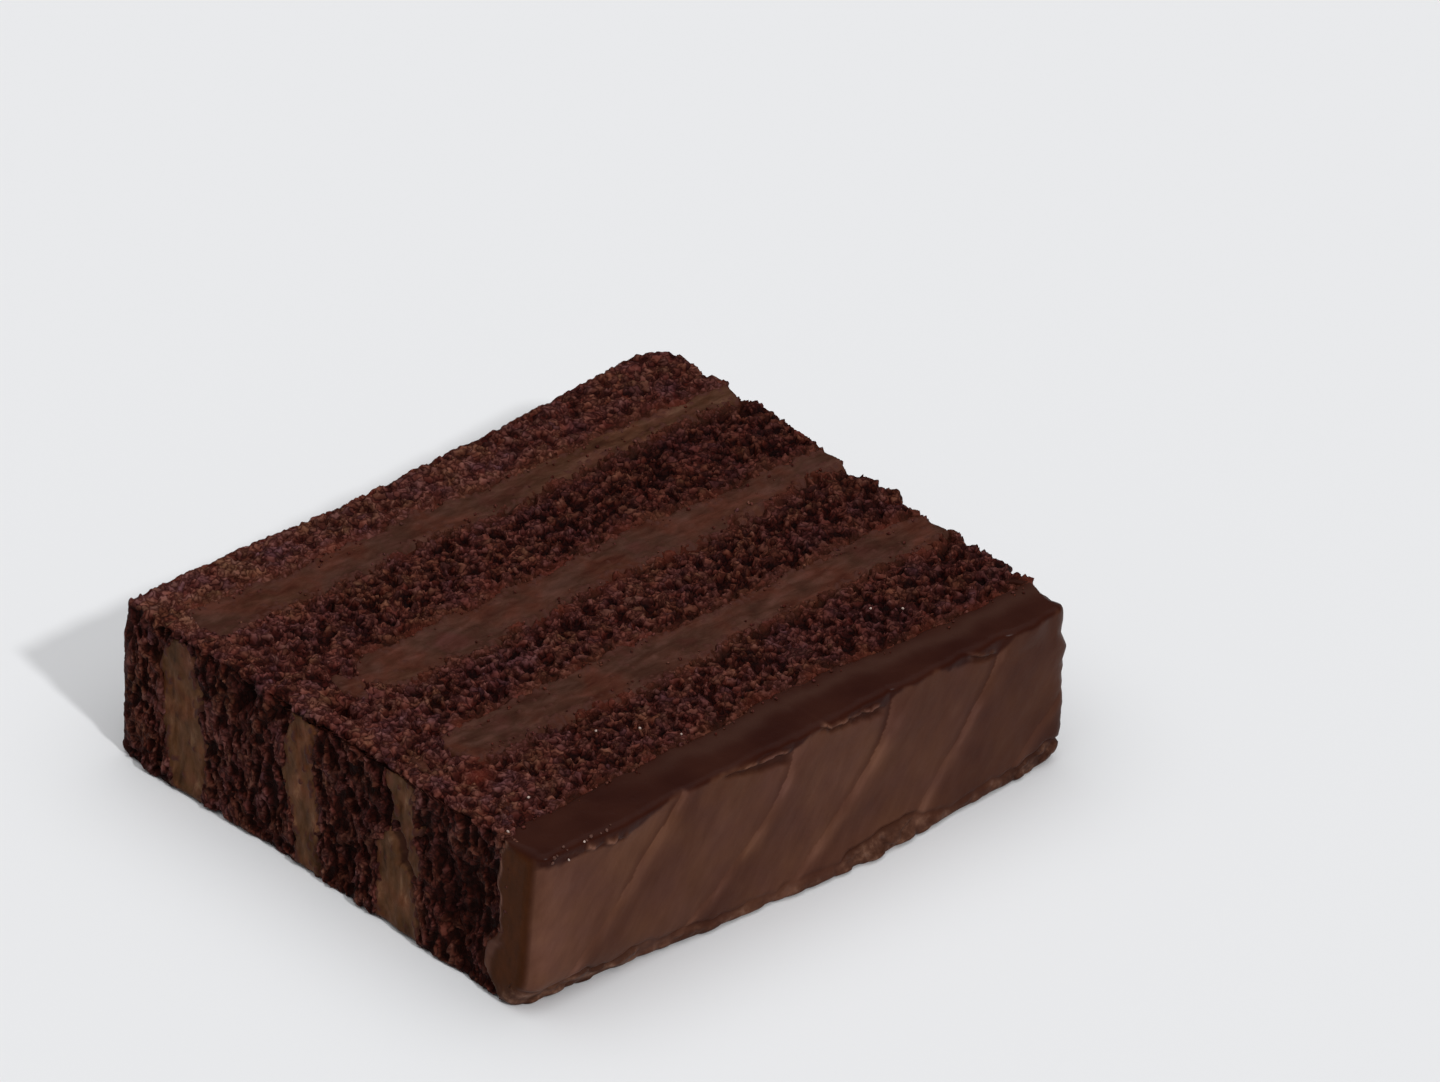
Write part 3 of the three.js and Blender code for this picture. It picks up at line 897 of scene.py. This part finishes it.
icing = {
    "spacing": 0.29,
    "halfDepth": 4.4,                   # of the block that it is shaped from
    "backWeight": 0.3,                  # grid points along the block's hidden back, against its front
    "lipRound": 1.0,
    "endRound": 1.8,
    "cornerTurn": (3.5, 1.1),           # the front curves back over this length, by this much
    "spill": 3.2,                       # how far it runs in under the crumb
    "deepest": 3.4,                     # how far in it goes on sinking
    "uneven": [(0.12, 5.0, 310), (0.05, 1.6, 311)],
    "tornEnd": [(0.7, 3.2, 317), (0.3, 1.2, 318)],
    "strokeStarts": [-95, -49, -28.1, -6, 19.1, 38, 60],        # where each groove leaves the foot
    "strokeRuns": [25, 25.6, 27.2, 23.5, 21.5, 27, 25],         # how far it travels along X as it climbs
    "strokeBends": [0, 0, 1, 1, 0.1, 0, 0],                     # 0 is straight, 1 steepens to upright
    "strokeDepths": [0.3, 0.35, 0.4, 0.8, 0.5, 0.45, 0.4],
    "strokeRise": 1.2,                  # from a groove to its crest
    "crestsOut": 0.35,                  # how far the crests stand out of the fitted plane
    "crestWidth": (1.6, 1.5),           # the width of a crest's painted highlight at the foot, and how much wider at the lip
    "dimBand": (2.5, 9),                # beyond a crest, the lengths over which painted shade dims the skin and lets it recover
    "toneShares": (0.3, 0.33, 0.6),     # painted highlight on a crest, painted shade on its far side and in the next groove
    "strokeStray": [(0.6, 6.0, 300), (0.15, 1.5, 302)],
    "toneStray": [(0.08, 8.0, 303), (0.05, 3.0, 304)],
    "slowTone": ([-50, -44, -22, 5, 25, 38, 50], [0.1, 0, -0.13, 0.04, 0.02, -0.06, -0.14]),    # along X
    "foot": ([-52, -36, -10, 13, 30, 52], [-3.8, -2.2, 0.2, 1.9, 0.5, -0.6]),       # how far it reaches out
    "footHeight": 3.6,
    "footRough": ([-50, -33, -29, -18, -10, 5, 9, 20, 26, 38, 42, 50],
                  [1, 0.9, 0.5, 0.6, 0.4, 0.35, 1, 1, 0.45, 0.4, 1, 1]),
    "footLine": [(0.8, 6.0, 330), (0.4, 1.7, 333)],             # how far its upper edge strays
    "footLump": (1.9, 0.9),             # size and height of its lumps
    "crease": (2.2, 1.2),               # its height on the face, and how much higher where the foot is rough
    "creaseSize": (0.4, 0.6),           # half its width, and its depth
    "skinEdge": (                       # how high the dried skin reaches on the front, along X
        [-50, -35, -27, -22, -15, -2, 2, 8, 16.5, 20, 26, 30, 38, 41, 50],
        [25.2, 24.2, 25.8, 26.6, 26.4, 24.6, 26.1, 25.9, 24.5, 26.1, 26.4, 25.2, 24.2, 26.2, 26.6]),
    "skinStray": [(0.3, 3.0, 312), (0.3, 1.1, 316)],
    "ledges": [                         # where the knife pushed the lip out: along X, and how broken it is
        {"across": (-48, -34), "heights": (26.2, 24.3), "thick": (0.2, 0.4), "flap": 0.6, "broken": 1.8},
        {"across": (-16, -1.5), "heights": (26.7, 24.8), "thick": (0.5, 2.2), "flap": 0.28, "broken": 0.6},
        {"across": (3, 16.5), "heights": (26.3, 24.6), "thick": (0.6, 1.6), "flap": 0.28, "broken": 1.2},
        {"across": (32, 38), "heights": (26.3, 24.4), "thick": (1.4, 0.6), "flap": 0.32, "broken": 0.8},
    ],
    "lipStray": [(0.3, 9.0, 322), (0.25, 3.2, 323)],
    "flapOut": 0.45,
    "hollowIn": 0.5,
    "wrapEdge": -50.4,                  # left of this, the skin covers the cut too
    "smear": (2.2, 1.6, 0.7),           # a paler band on the cut: its distance from the crumb, its width and strength
}


def strokeRelief(x, z):
    # Each stroke: a groove, a quick rise to a crest and a slow fall to the next groove. The grooves
    # climb to the right, straight or along a sine. Gives how far the icing stands back, and the skin's tone,
    # 0 to 1, which paints light and shade: a painted highlight on a crest, painted shade just beyond it and
    # in the groove before it, and a slow tone along X with random stray.
    up = np.clip(z / slab["thickness"], 0, 1)
    spot = np.stack([x, np.zeros_like(x), z], axis=-1)
    shifted = x + mixedNoise(spot, icing["strokeStray"])
    back = np.zeros_like(x)
    tone = np.full_like(x, 0.5)
    grooves = [start + run * (up + bend * (np.sin(math.pi / 2 * up) - up)) for start, run, bend in zip(
        icing["strokeStarts"], icing["strokeRuns"], icing["strokeBends"])]
    depths = icing["strokeDepths"]
    crestWidth = icing["crestWidth"][0] + icing["crestWidth"][1] * up**2
    dimFrom, dimTo = icing["dimBand"]
    paleShare, dimShare, shadowShare = icing["toneShares"]
    strength = np.clip(0.7 + 0.7 * softNoise(spot, 4.0, 301), 0, 1)
    broken = fade(softNoise(spot, 2.6, 305), -0.4, 0.4)
    for groove, following, depth, nextDepth in zip(grooves, grooves[1:], depths, depths[1:]):
        past = np.clip(shifted - groove, 0, None)
        along = (shifted - groove) / (following - groove)
        inside = (along >= 0) & (along < 1)
        rise = 1 - np.exp(-past / icing["strokeRise"])
        grooved = (depth + (nextDepth - depth) * along) * (0.5 + 0.6 * up)
        back = np.where(inside, grooved * (1 - rise * (1 - along)), back)
        # A crest's painted highlight, the painted shade beyond it, and the painted shadow in the next groove
        crest = broken * np.exp(-(((past - 1.1) / 0.6) ** 2))
        pale = strength * np.exp(-(((past - 1.3) / crestWidth) ** 2)) + 0.5 * crest
        dim = (1 - np.exp(-past / dimFrom)) * np.exp(-past / dimTo)
        shadow = np.exp(-(((following - shifted - 0.3) / 0.9) ** 2)) * fade(z, 10, 22) * nextDepth
        tone = np.where(inside, 0.5 + paleShare * pale - dimShare * dim - shadowShare * shadow, tone)
    tone = tone + np.interp(x, *icing["slowTone"]) + mixedNoise(spot, icing["toneStray"])
    return back, np.clip(tone, 0, 1)


def fittedPlane(face):
    # Least squares fit of a + bx + cx^2 + dz to the middle heights of a measured face
    x, z = np.meshgrid(face["first"], face["second"][1:], indexing="ij")
    values = face["values"][:, 1:]
    columns = np.stack([np.ones_like(x), x, x * x, z], axis=-1).reshape(-1, 4)
    return np.linalg.lstsq(columns, values.ravel(), rcond=None)[0]


def lipRelief(x, z):
    # The knife has pushed thin broken flaps out of the lip in places, with a hollow under them. Gives how
    # far the lip stands out, and where there is flap, which gets a painted highlight, and hollow, which gets
    # painted shadow.
    spot = np.stack([x, 0 * x, 0 * x], axis=-1)
    out = mixedNoise(spot, icing["lipStray"]) * fade(z, 22, 26)
    flap, hollow = 0 * z, 0 * z
    for ledge in icing["ledges"]:
        start, end = ledge["across"]
        there = fade(x, start, start + 2.0) * fade(end - x, 0, 1.5)
        broken = np.clip(0.8 + ledge["broken"] * softNoise(spot, 1.2, 324), 0, 1)
        stray = mixedNoise(spot, [(0.25, 2.2, 320), (0.2 * ledge["broken"], 0.8, 321)])
        edge = np.interp(x, ledge["across"], ledge["heights"]) + stray
        thick = np.interp(x, ledge["across"], ledge["thick"])
        below = edge - z
        flapHere = there * broken * np.exp(-((below / ledge["flap"]) ** 2))
        hollowHere = there * fade(below, 0.15, 0.6) * fade(thick + 0.5 - below, 0, 0.7)
        out = out + icing["flapOut"] * flapHere - icing["hollowIn"] * hollowHere
        flap, hollow = np.maximum(flap, flapHere), np.maximum(hollow, hollowHere)
    return out, flap, hollow


def footRelief(x, z):
    # Icing squeezed out at the foot: a bead of crumbly lumps under an uneven crease. Gives how far it
    # stands out, where it is rough, and where the crease is, which gets painted shade.
    spot = np.stack([x, 0 * x, z], axis=-1)
    strength = np.interp(x, *icing["footRough"])
    lumpSize, lumpHeight = icing["footLump"]
    creaseWidth, creaseDepth = icing["creaseSize"]
    lowest, higher = icing["crease"]
    line = lowest + higher * strength + mixedNoise(spot * [1, 1, 0], icing["footLine"])
    crease = np.exp(-(((z - line) / creaseWidth) ** 2)) * strength
    lumps = lumpNoise(spot * [0.6, 1, 1], lumpSize, 332, 1.7, 0.6) - 0.4
    rough = strength * fade(line - z, -0.1, 0.7)
    return lumpHeight * lumps * rough - creaseDepth * crease, 0.6 * rough, crease


def icingShades(x, z, spot, past, toFront, onLeft, flap, hollow):
    # Where the dried skin is, on the front, round the left end, on the flaps and in ragged flakes along the
    # left end's crumb, with less of it towards the right as painted shade; that rim, a painted highlight
    # along the left end's border together with its ragged flakes; and where a paler band runs along the crumb
    # on the cut
    skinTop = np.interp(x, *icing["skinEdge"]) + mixedNoise(spot, icing["skinStray"])
    # Less skin towards the right: painted shade that darkens the front that way
    outside = fade(toFront, 0.88, 0.96) * fade(skinTop - z, -0.2, 0.5) * (1 - 0.4 * fade(x, -30, 50))
    outside = np.maximum(outside, 0.9 * hollow)
    wrapEdge = icing["wrapEdge"] + 2.4 * toFront**3 + 0.5 * softNoise(spot, 2.0, 314)
    wrapped = 0.7 * fade(wrapEdge - x, -0.2, 0.5) * (1 - onLeft)
    # A painted highlight along the left end's border with the crumb, and with it the ragged flakes
    rim = np.exp(-(((past + 0.15 + 0.25 * softNoise(spot, 2.4, 315)) / 0.4) ** 2)) * fade(z, 4, 16)
    flakes = fade(past, -2.6, -1.2) * fade(11.5 - z, 0, 2) * fade(softNoise(spot, 2.2, 319), -0.7, 0.2)
    rim = np.maximum(rim, 0.75 * flakes * fade(z, 1, 3))
    skin = np.maximum(np.maximum(outside, wrapped), np.maximum(onLeft * rim, flap))
    # A paler band along the crumb on the cut
    smearAt, smearWidth, smearShare = icing["smear"]
    apart = (past + smearAt + 0.8 * softNoise(spot, 4.0, 313)) / smearWidth
    smear = np.exp(-(apart**2)) * smearShare * fade(x, -34, -10)
    return skin, rim, smear


def buildIcing():
    # A block whose front is a plane fitted to the frame's, with the strokes, the lip and the foot on it, and
    # whose back runs in under the crumb
    baseSide = baseSides["icing"]
    a, b, c, d = fittedPlane(icingSides["icing"])
    outlineLength = 4 * icing["halfDepth"] + (1 + icing["backWeight"]) * slab["thickness"]
    around = 2 * round(outlineLength / icing["spacing"] / 2)
    blockY, blockZ, normalY, normalZ = roundedOutline(
        icing["halfDepth"], slab["thickness"], icing["lipRound"], around, icing["backWeight"])
    straight = round(2 * slab["halfLength"] / icing["spacing"])
    share, turn, sink = blockRows(straight, 7, 7, 20, 20)
    edge = icing["endRound"] * fade(blockY / icing["halfDepth"], -0.6, 0.6)
    middle = slab["thickness"] / 2
    outline = (icing["halfDepth"], middle, normalY, normalZ)
    blockY, up = insetOutline(blockY, blockZ - middle, outline, icing["lipRound"], edge * (1 - np.cos(turn)))
    toFront = (blockY / icing["halfDepth"] + 1) / 2
    toFront = toFront + 0.8 * (0.5 - toFront) * sink
    blockX = (slab["halfLength"] - edge) * (2 * share - 1) + edge * np.sin(turn)
    blockX, blockZ, toFront = np.broadcast_arrays(blockX, middle + up * (1 - sink), toFront)

    back, tone = strokeRelief(blockX, blockZ)
    foot = np.interp(blockX, *icing["foot"]) * np.exp(-((blockZ / icing["footHeight"]) ** 2))
    lip, flap, hollow = lipRelief(blockX, blockZ)
    lumps, rough, crease = footRelief(blockX, blockZ)
    cornerLength, cornerDrop = icing["cornerTurn"]
    corner = np.clip(1 - (slab["halfLength"] - np.abs(blockX)) / cornerLength, 0, 1)
    front = a + b * blockX + c * blockX**2 + d * blockZ - icing["crestsOut"] + back - foot - lip - lumps
    front = front + cornerDrop * corner**2
    seam = readFace(baseSide, blockX, blockZ) + icing["spill"]
    y = seam + (front - seam) * toFront
    nearY = np.clip(y, stationsY[0] - 2, stationsY[-1] + 2)
    x = endX(blockX, nearY, blockZ)
    z = blockZ
    spot = np.stack([x, y, z], axis=-1)

    # It sinks under the crumb, from the cut and from both ends, and its right end is torn
    past = y - seam + icing["spill"] + crumbCover(4, "baseSide", x, z) - seamWobble(x, z, 8)
    fall = fudge["fall"] * np.clip(past, 0, icing["deepest"])
    depth = (0.12 + mixedNoise(spot, icing["uneven"]) + fall) * np.cos(turn)
    start, stop = (endX(0 * z + side * slab["halfLength"], nearY, z) for side in (-1, 1))
    torn = mixedNoise(spot, icing["tornEnd"])
    x = x + fall * fade(start - x, -6, 0) - (fall + torn) * fade(x - stop, -6, 0)
    y = y + normalY * np.where(normalY < -0.5, 0, depth)
    z = np.clip(z - normalZ * depth, slab["floor"], slab["thickness"])
    rings = np.stack([x, y, z], axis=-1)

    onLeft = fade(-np.sin(turn), 0.6, 1) + 0 * x
    skin, rim, smear = icingShades(x, z, spot, past, toFront, onLeft, flap, hollow)
    # Painted shadow in the hollows under the flaps and painted shade in the foot's crease; painted highlight
    # on the flaps and on the left end's rim
    tone = np.maximum(tone * (1 - hollow) * (1 - 0.7 * crease), np.maximum(flap, onLeft * rim))
    attributes = {
        "driedSkin": skin,
        "strokeShadeAndTone": tone,
        "mattFace": np.maximum(skin, fade(np.abs(np.sin(turn)), 0.3, 0.9)),
        "paleBand": smear,
        "endFilm": onLeft * (1 - rim) * fade(26.8 - z, 0, 1.5),
        "footCrumb": rough * fade(toFront, 0.6, 0.9),
    }
    piece = meshFromRings("icing_fudge", rings, attributes, icingMaterial)
    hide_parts("icing")
    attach(piece, "root")


buildIcing()
print("icing done")

# Loose crumbs, and pale grains as painted glints

loose = {
    "borderCrumbs": 520,        # on the cut, along the borders of crumb and fudge
    "across": (-48, 50),        # along X
    "borderSpread": 0.9,
    "crumbSize": (0.22, 0.5),   # half a crumb's length
    "crumbRough": 0.45,
    "deepest": 2.5,             # what falls further below the cut than this is left out
    "lipGrains": 16,            # pale grains on the icing's lip, near the left end, as painted glints
    "lipAcross": (-48.5, -35),
    "lipIn": (0.1, 0.7),        # least distance from the icing's front edge, and how much it varies
    "lipSize": (0.2, 0.4),
    "glintAt": [(-39.8, -31.9), (-47.8, -36.9), (32.9, -29.9), (29.2, -27.1), (42.0, -31.8), (-16.4, -28.9),
                (-21.5, -25.2), (-13.1, -34.2), (-48.6, -44.9), (-43.6, -45.2), (-40.6, -45.1)],    # X and Y of the painted glints
    "glintSize": 0.32,
    "glintRough": 0.25,
    "glintColour": [(0, "#46291f"), (0.5, "#62433a"), (1, "#b4a096")],       # of the painted glints, from sunk in fudge to clear
}

shapes = bpy.context.evaluated_depsgraph_get()
madeSurfaces = [BVHTree.FromObject(piece, shapes) for piece in bpy.context.scene.objects
                if piece.name.endswith(("_crumb", "_fudge"))]


def dropped(x, y, clearHeight):
    # The places where lumps let fall from above come to rest, and which of them found a surface
    tops = []
    for spotX, spotY in zip(x, y):
        start = Vector((spotX * mm, spotY * mm, 0.1))
        hits = [surface.ray_cast(start, Vector((0, 0, -1)))[0] for surface in madeSurfaces]
        tops.append(max((hit.z / mm for hit in hits if hit), default=0))
    tops = np.array(tops)
    return np.stack([x, y, tops + clearHeight], axis=-1), tops > slab["thickness"] - loose["deepest"]


def randomNumbers(count, seed, columns):
    # A row of numbers from 0 to 1 for each of a count of things
    indices = np.stack([np.arange(count), np.zeros(count), np.zeros(count)], axis=-1).astype(np.int64)
    return hashedNumbers(indices, seed, columns)


def scatterLumps(name, centres, sizes, roughness, seed, attributes, material):
    # One joined mesh of small lumps. Each starts as an octahedron whose eight faces are split in four,
    # pushed out to a ball; every corner then gets its own share of the radius, and each lump its own three
    # radii and turn.
    tips = np.array([[1, 0, 0], [-1, 0, 0], [0, 1, 0], [0, -1, 0], [0, 0, 1], [0, 0, -1]], float)
    wedges = np.array(
        [[0, 2, 4], [2, 1, 4], [1, 3, 4], [3, 0, 4], [2, 0, 5], [1, 2, 5], [3, 1, 5], [0, 3, 5]])
    edges = sorted({tuple(sorted(pair)) for a, b, c in wedges.tolist() for pair in ((a, b), (b, c), (c, a))})
    middles = {pair: 6 + k for k, pair in enumerate(edges)}
    ball = np.concatenate([tips, [(tips[a] + tips[b]) / math.sqrt(2) for a, b in edges]])
    faces = []
    for a, b, c in wedges.tolist():
        ab, bc, ca = (middles[tuple(sorted(pair))] for pair in ((a, b), (b, c), (c, a)))
        faces += [[a, ab, ca], [ab, b, bc], [ca, bc, c], [ab, bc, ca]]
    faces = np.array(faces)
    count = len(centres)
    draw = randomNumbers(count, seed, 6)
    corner = np.stack(np.broadcast_arrays(np.arange(count)[:, None], np.arange(len(ball)), 0), axis=-1)
    radii = 1 - roughness * hashedNumbers(corner, seed + 1, 1)
    points = ball * radii * (0.55 + 0.45 * draw[:, None, :3]) * sizes[:, None, None]
    axis = draw[:, 3:] * 2 - 1
    axis = (axis / np.linalg.norm(axis, axis=-1, keepdims=True))[:, None, :]
    angle = 2 * math.pi * draw[:, None, :1]
    along = (points * axis).sum(axis=-1, keepdims=True) * axis
    points = along + (points - along) * np.cos(angle) + np.cross(axis, points) * np.sin(angle)
    points = points + centres[:, None, :]
    points[..., 2] = np.clip(points[..., 2], slab["floor"], None)
    allFaces = (faces[None] + len(ball) * np.arange(count)[:, None, None]).reshape(-1, 3)
    values = {key: np.repeat(value, len(ball)) for key, value in attributes.items()}
    piece = meshFromArrays(name, points.reshape(-1, 3) * mm, allFaces, values, material)
    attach(piece, "root")


def buildLooseCrumbs():
    # Crumbs lie along the seams' lines on the cut, thickest on the line
    draw = randomNumbers(loose["borderCrumbs"], 400, 8)
    x = loose["across"][0] + (loose["across"][1] - loose["across"][0]) * draw[:, 0]
    seams = [side[f"filling_{number}"] for number in (1, 2, 3) for side in (icingSides, baseSides)]
    seams = [baseSides["icing"]] + seams
    lines = np.stack([readFace(face, x, np.full_like(x, slab["thickness"])) for face in seams])
    chosen = (draw[:, 1] * len(seams)).astype(int)
    y = lines[chosen, np.arange(len(x))] + (draw[:, 2:5].sum(axis=-1) - 1.5) * 2 * loose["borderSpread"]
    smallest, largest = loose["crumbSize"]
    size = smallest + (largest - smallest) * draw[:, 5] ** 2
    centres, landed = dropped(x, y, 0.3 * size)
    draw = draw[landed]
    attributes = {"crumbShade": 0.55 + 0.45 * draw[:, 6], "fudgeTint": 0.6 * draw[:, 6],
                  "rustSpot": 0.3 * draw[:, 7]}
    scatterLumps("loose_crumbs", centres[landed], size[landed], loose["crumbRough"], 410, attributes,
                 spongeMaterial)


def glintGrainMaterial():
    # Pale grains that stand for glints on moist crumb: a painted highlight. The large grains are
    # clear-white, the small ones on the lip are half sunk in fudge and pink-brown.
    material, tree, clear = newMaterial("paleGlintGrain", "glintBrightness")
    colour = addNode(tree, "ShaderNodeValToRGB", {"stops": loose["glintColour"]}, [("Fac", clear, "Fac")])
    surface = addNode(tree, "ShaderNodeBsdfPrincipled", {"Roughness": 0.5, "Specular IOR Level": 0.15},
                      [("Base Color", colour, "Color")])
    addNode(tree, "ShaderNodeOutputMaterial", {}, [("Surface", surface, "BSDF")])
    return material


def buildGlintGrains():
    # Painted glints: large pale grains in the few places where the crumb catches the light, and a ragged
    # line of small ones on the lip
    places = np.array(loose["glintAt"], float)
    draw = randomNumbers(loose["lipGrains"], 401, 4)
    lipX = loose["lipAcross"][0] + (loose["lipAcross"][1] - loose["lipAcross"][0]) * draw[:, 0] ** 1.4
    a, b, c, d = fittedPlane(icingSides["icing"])
    least, more = loose["lipIn"]
    lipY = a + b * lipX + c * lipX**2 + d * slab["thickness"] + least + more * draw[:, 1] ** 2
    smallest, largest = loose["lipSize"]
    x = np.concatenate([places[:, 0], lipX])
    y = np.concatenate([places[:, 1], lipY])
    lipSize = smallest + (largest - smallest) * draw[:, 2]
    size = np.concatenate([np.full(len(places), loose["glintSize"]), lipSize])
    clear = np.concatenate([np.ones(len(places)), 0.4 * draw[:, 3]])
    centres, landed = dropped(x, y, 0.35 * size)
    attributes = {"glintBrightness": clear[landed]}
    scatterLumps("glint_grains", centres[landed], size[landed], loose["glintRough"], 420, attributes,
                 glintGrainMaterial())


buildLooseCrumbs()
buildGlintGrains()
print("loose crumbs done")

# Studio

studio = {
    "azimuth": -40.83,      # degrees; 0 looks along +Y
    "elevation": 33.15,
    "distance": 2200.0,
    "aim": (0.27, 1.2, 13.0),
    "pixelsPerMm": 6.87,    # at the aim, in a picture 1440 pixels wide
    "pictureWidth": 1440,
    "pictureHeight": 1082,
    "aimPixel": (592.5, 679.2),
    "sensor": 36.0,
    "keyDirection": (-0.110, -0.764, 0.636),    # from the slice towards the light
    "keyShare": 0.28,       # of the light on the floor
    "keySoftness": 4.0,     # degrees
    "lowSky": 0.1,          # brightness near the horizon
    "skyEdge": (0.6, 0.85),
    "backdrop": 0.8,        # brightness that the camera sees behind the floor
    "floorHalf": 3.0,       # metres
    "floor": "#e9eaec",
}

azimuth, elevation = math.radians(studio["azimuth"]), math.radians(studio["elevation"])
backward = Vector((math.sin(azimuth) * math.cos(elevation), -math.cos(azimuth) * math.cos(elevation),
                   math.sin(elevation)))
rightward = Vector((math.cos(azimuth), math.sin(azimuth), 0))
upward = backward.cross(rightward)
slideRight = (studio["pictureWidth"] / 2 - studio["aimPixel"][0]) / studio["pixelsPerMm"]
slideUp = (studio["aimPixel"][1] - studio["pictureHeight"] / 2) / studio["pixelsPerMm"]
camera = bpy.data.objects.new("camera", bpy.data.cameras.new("camera"))
bpy.context.scene.collection.objects.link(camera)
camera.location = (Vector(studio["aim"]) + backward * studio["distance"] + rightward * slideRight
                   + upward * slideUp) * mm
camera.rotation_euler = backward.to_track_quat("Z", "Y").to_euler()
camera.data.sensor_fit = "HORIZONTAL"
camera.data.sensor_width = studio["sensor"]
camera.data.lens = studio["sensor"] * studio["pixelsPerMm"] * studio["distance"] / studio["pictureWidth"]
camera.data.clip_end = 50
bpy.context.scene.camera = camera

key = bpy.data.objects.new("key", bpy.data.lights.new("key", "SUN"))
bpy.context.scene.collection.objects.link(key)
keyDirection = Vector(studio["keyDirection"]).normalized()
key.rotation_euler = keyDirection.to_track_quat("Z", "Y").to_euler()
key.data.energy = studio["keyShare"] * math.pi / keyDirection.z
key.data.angle = math.radians(studio["keySoftness"])

# The world is one wide soft light overhead. The sky is dim up to the first height and full from the
# second, where height is the sine of the elevation. The floor gets the integral of 2 * height * sky.
world = bpy.data.worlds.new("overheadSoftLight")
bpy.context.scene.world = world
world.use_nodes = True
sky = world.node_tree
sky.nodes.clear()
heights = np.linspace(0, 1, 401)
brightness = studio["lowSky"] + (1 - studio["lowSky"]) * fade(heights, *studio["skyEdge"])
floorLight = (2 * heights * brightness).mean()
direction = addNode(sky, "ShaderNodeTexCoord", {})
split = addNode(sky, "ShaderNodeSeparateXYZ", {}, [("Vector", direction, "Generated")])
edgeFrom, edgeTo = studio["skyEdge"]
band = addNode(sky, "ShaderNodeMapRange",
               {"interpolation_type": "SMOOTHSTEP", "From Min": edgeFrom, "From Max": edgeTo,
                "To Min": studio["lowSky"], "To Max": 1.0}, [("Value", split, "Z")])
ray = addNode(sky, "ShaderNodeLightPath", {})
seen = addNode(sky, "ShaderNodeMix", {"data_type": "FLOAT", "B_Float": studio["backdrop"]},
               [("Factor_Float", ray, "Is Camera Ray"), ("A_Float", band, "Result")])
glow = addNode(sky, "ShaderNodeBackground", {"Strength": (1 - studio["keyShare"]) / floorLight},
               [("Color", seen, "Result_Float")])
addNode(sky, "ShaderNodeOutputWorld", {}, [("Surface", glow, "Background")])

floorMaterial, floorTree = newMaterial("matteStudioPaper")
floorSurface = addNode(floorTree, "ShaderNodeBsdfPrincipled",
                       {"Base Color": linear(studio["floor"]), "Roughness": 0.9, "Specular IOR Level": 0.0})
addNode(floorTree, "ShaderNodeOutputMaterial", {}, [("Surface", floorSurface, "BSDF")])
corners = studio["floorHalf"] * np.array([[-1, -1, 0], [1, -1, 0], [1, 1, 0], [-1, 1, 0]])
floor = meshFromArrays("studio_floor", corners, np.array([[0, 1, 2, 3]]), {}, floorMaterial)

bpy.context.scene.view_settings.view_transform = "Standard"
bpy.context.scene.view_settings.look = "None"
print("studio done")
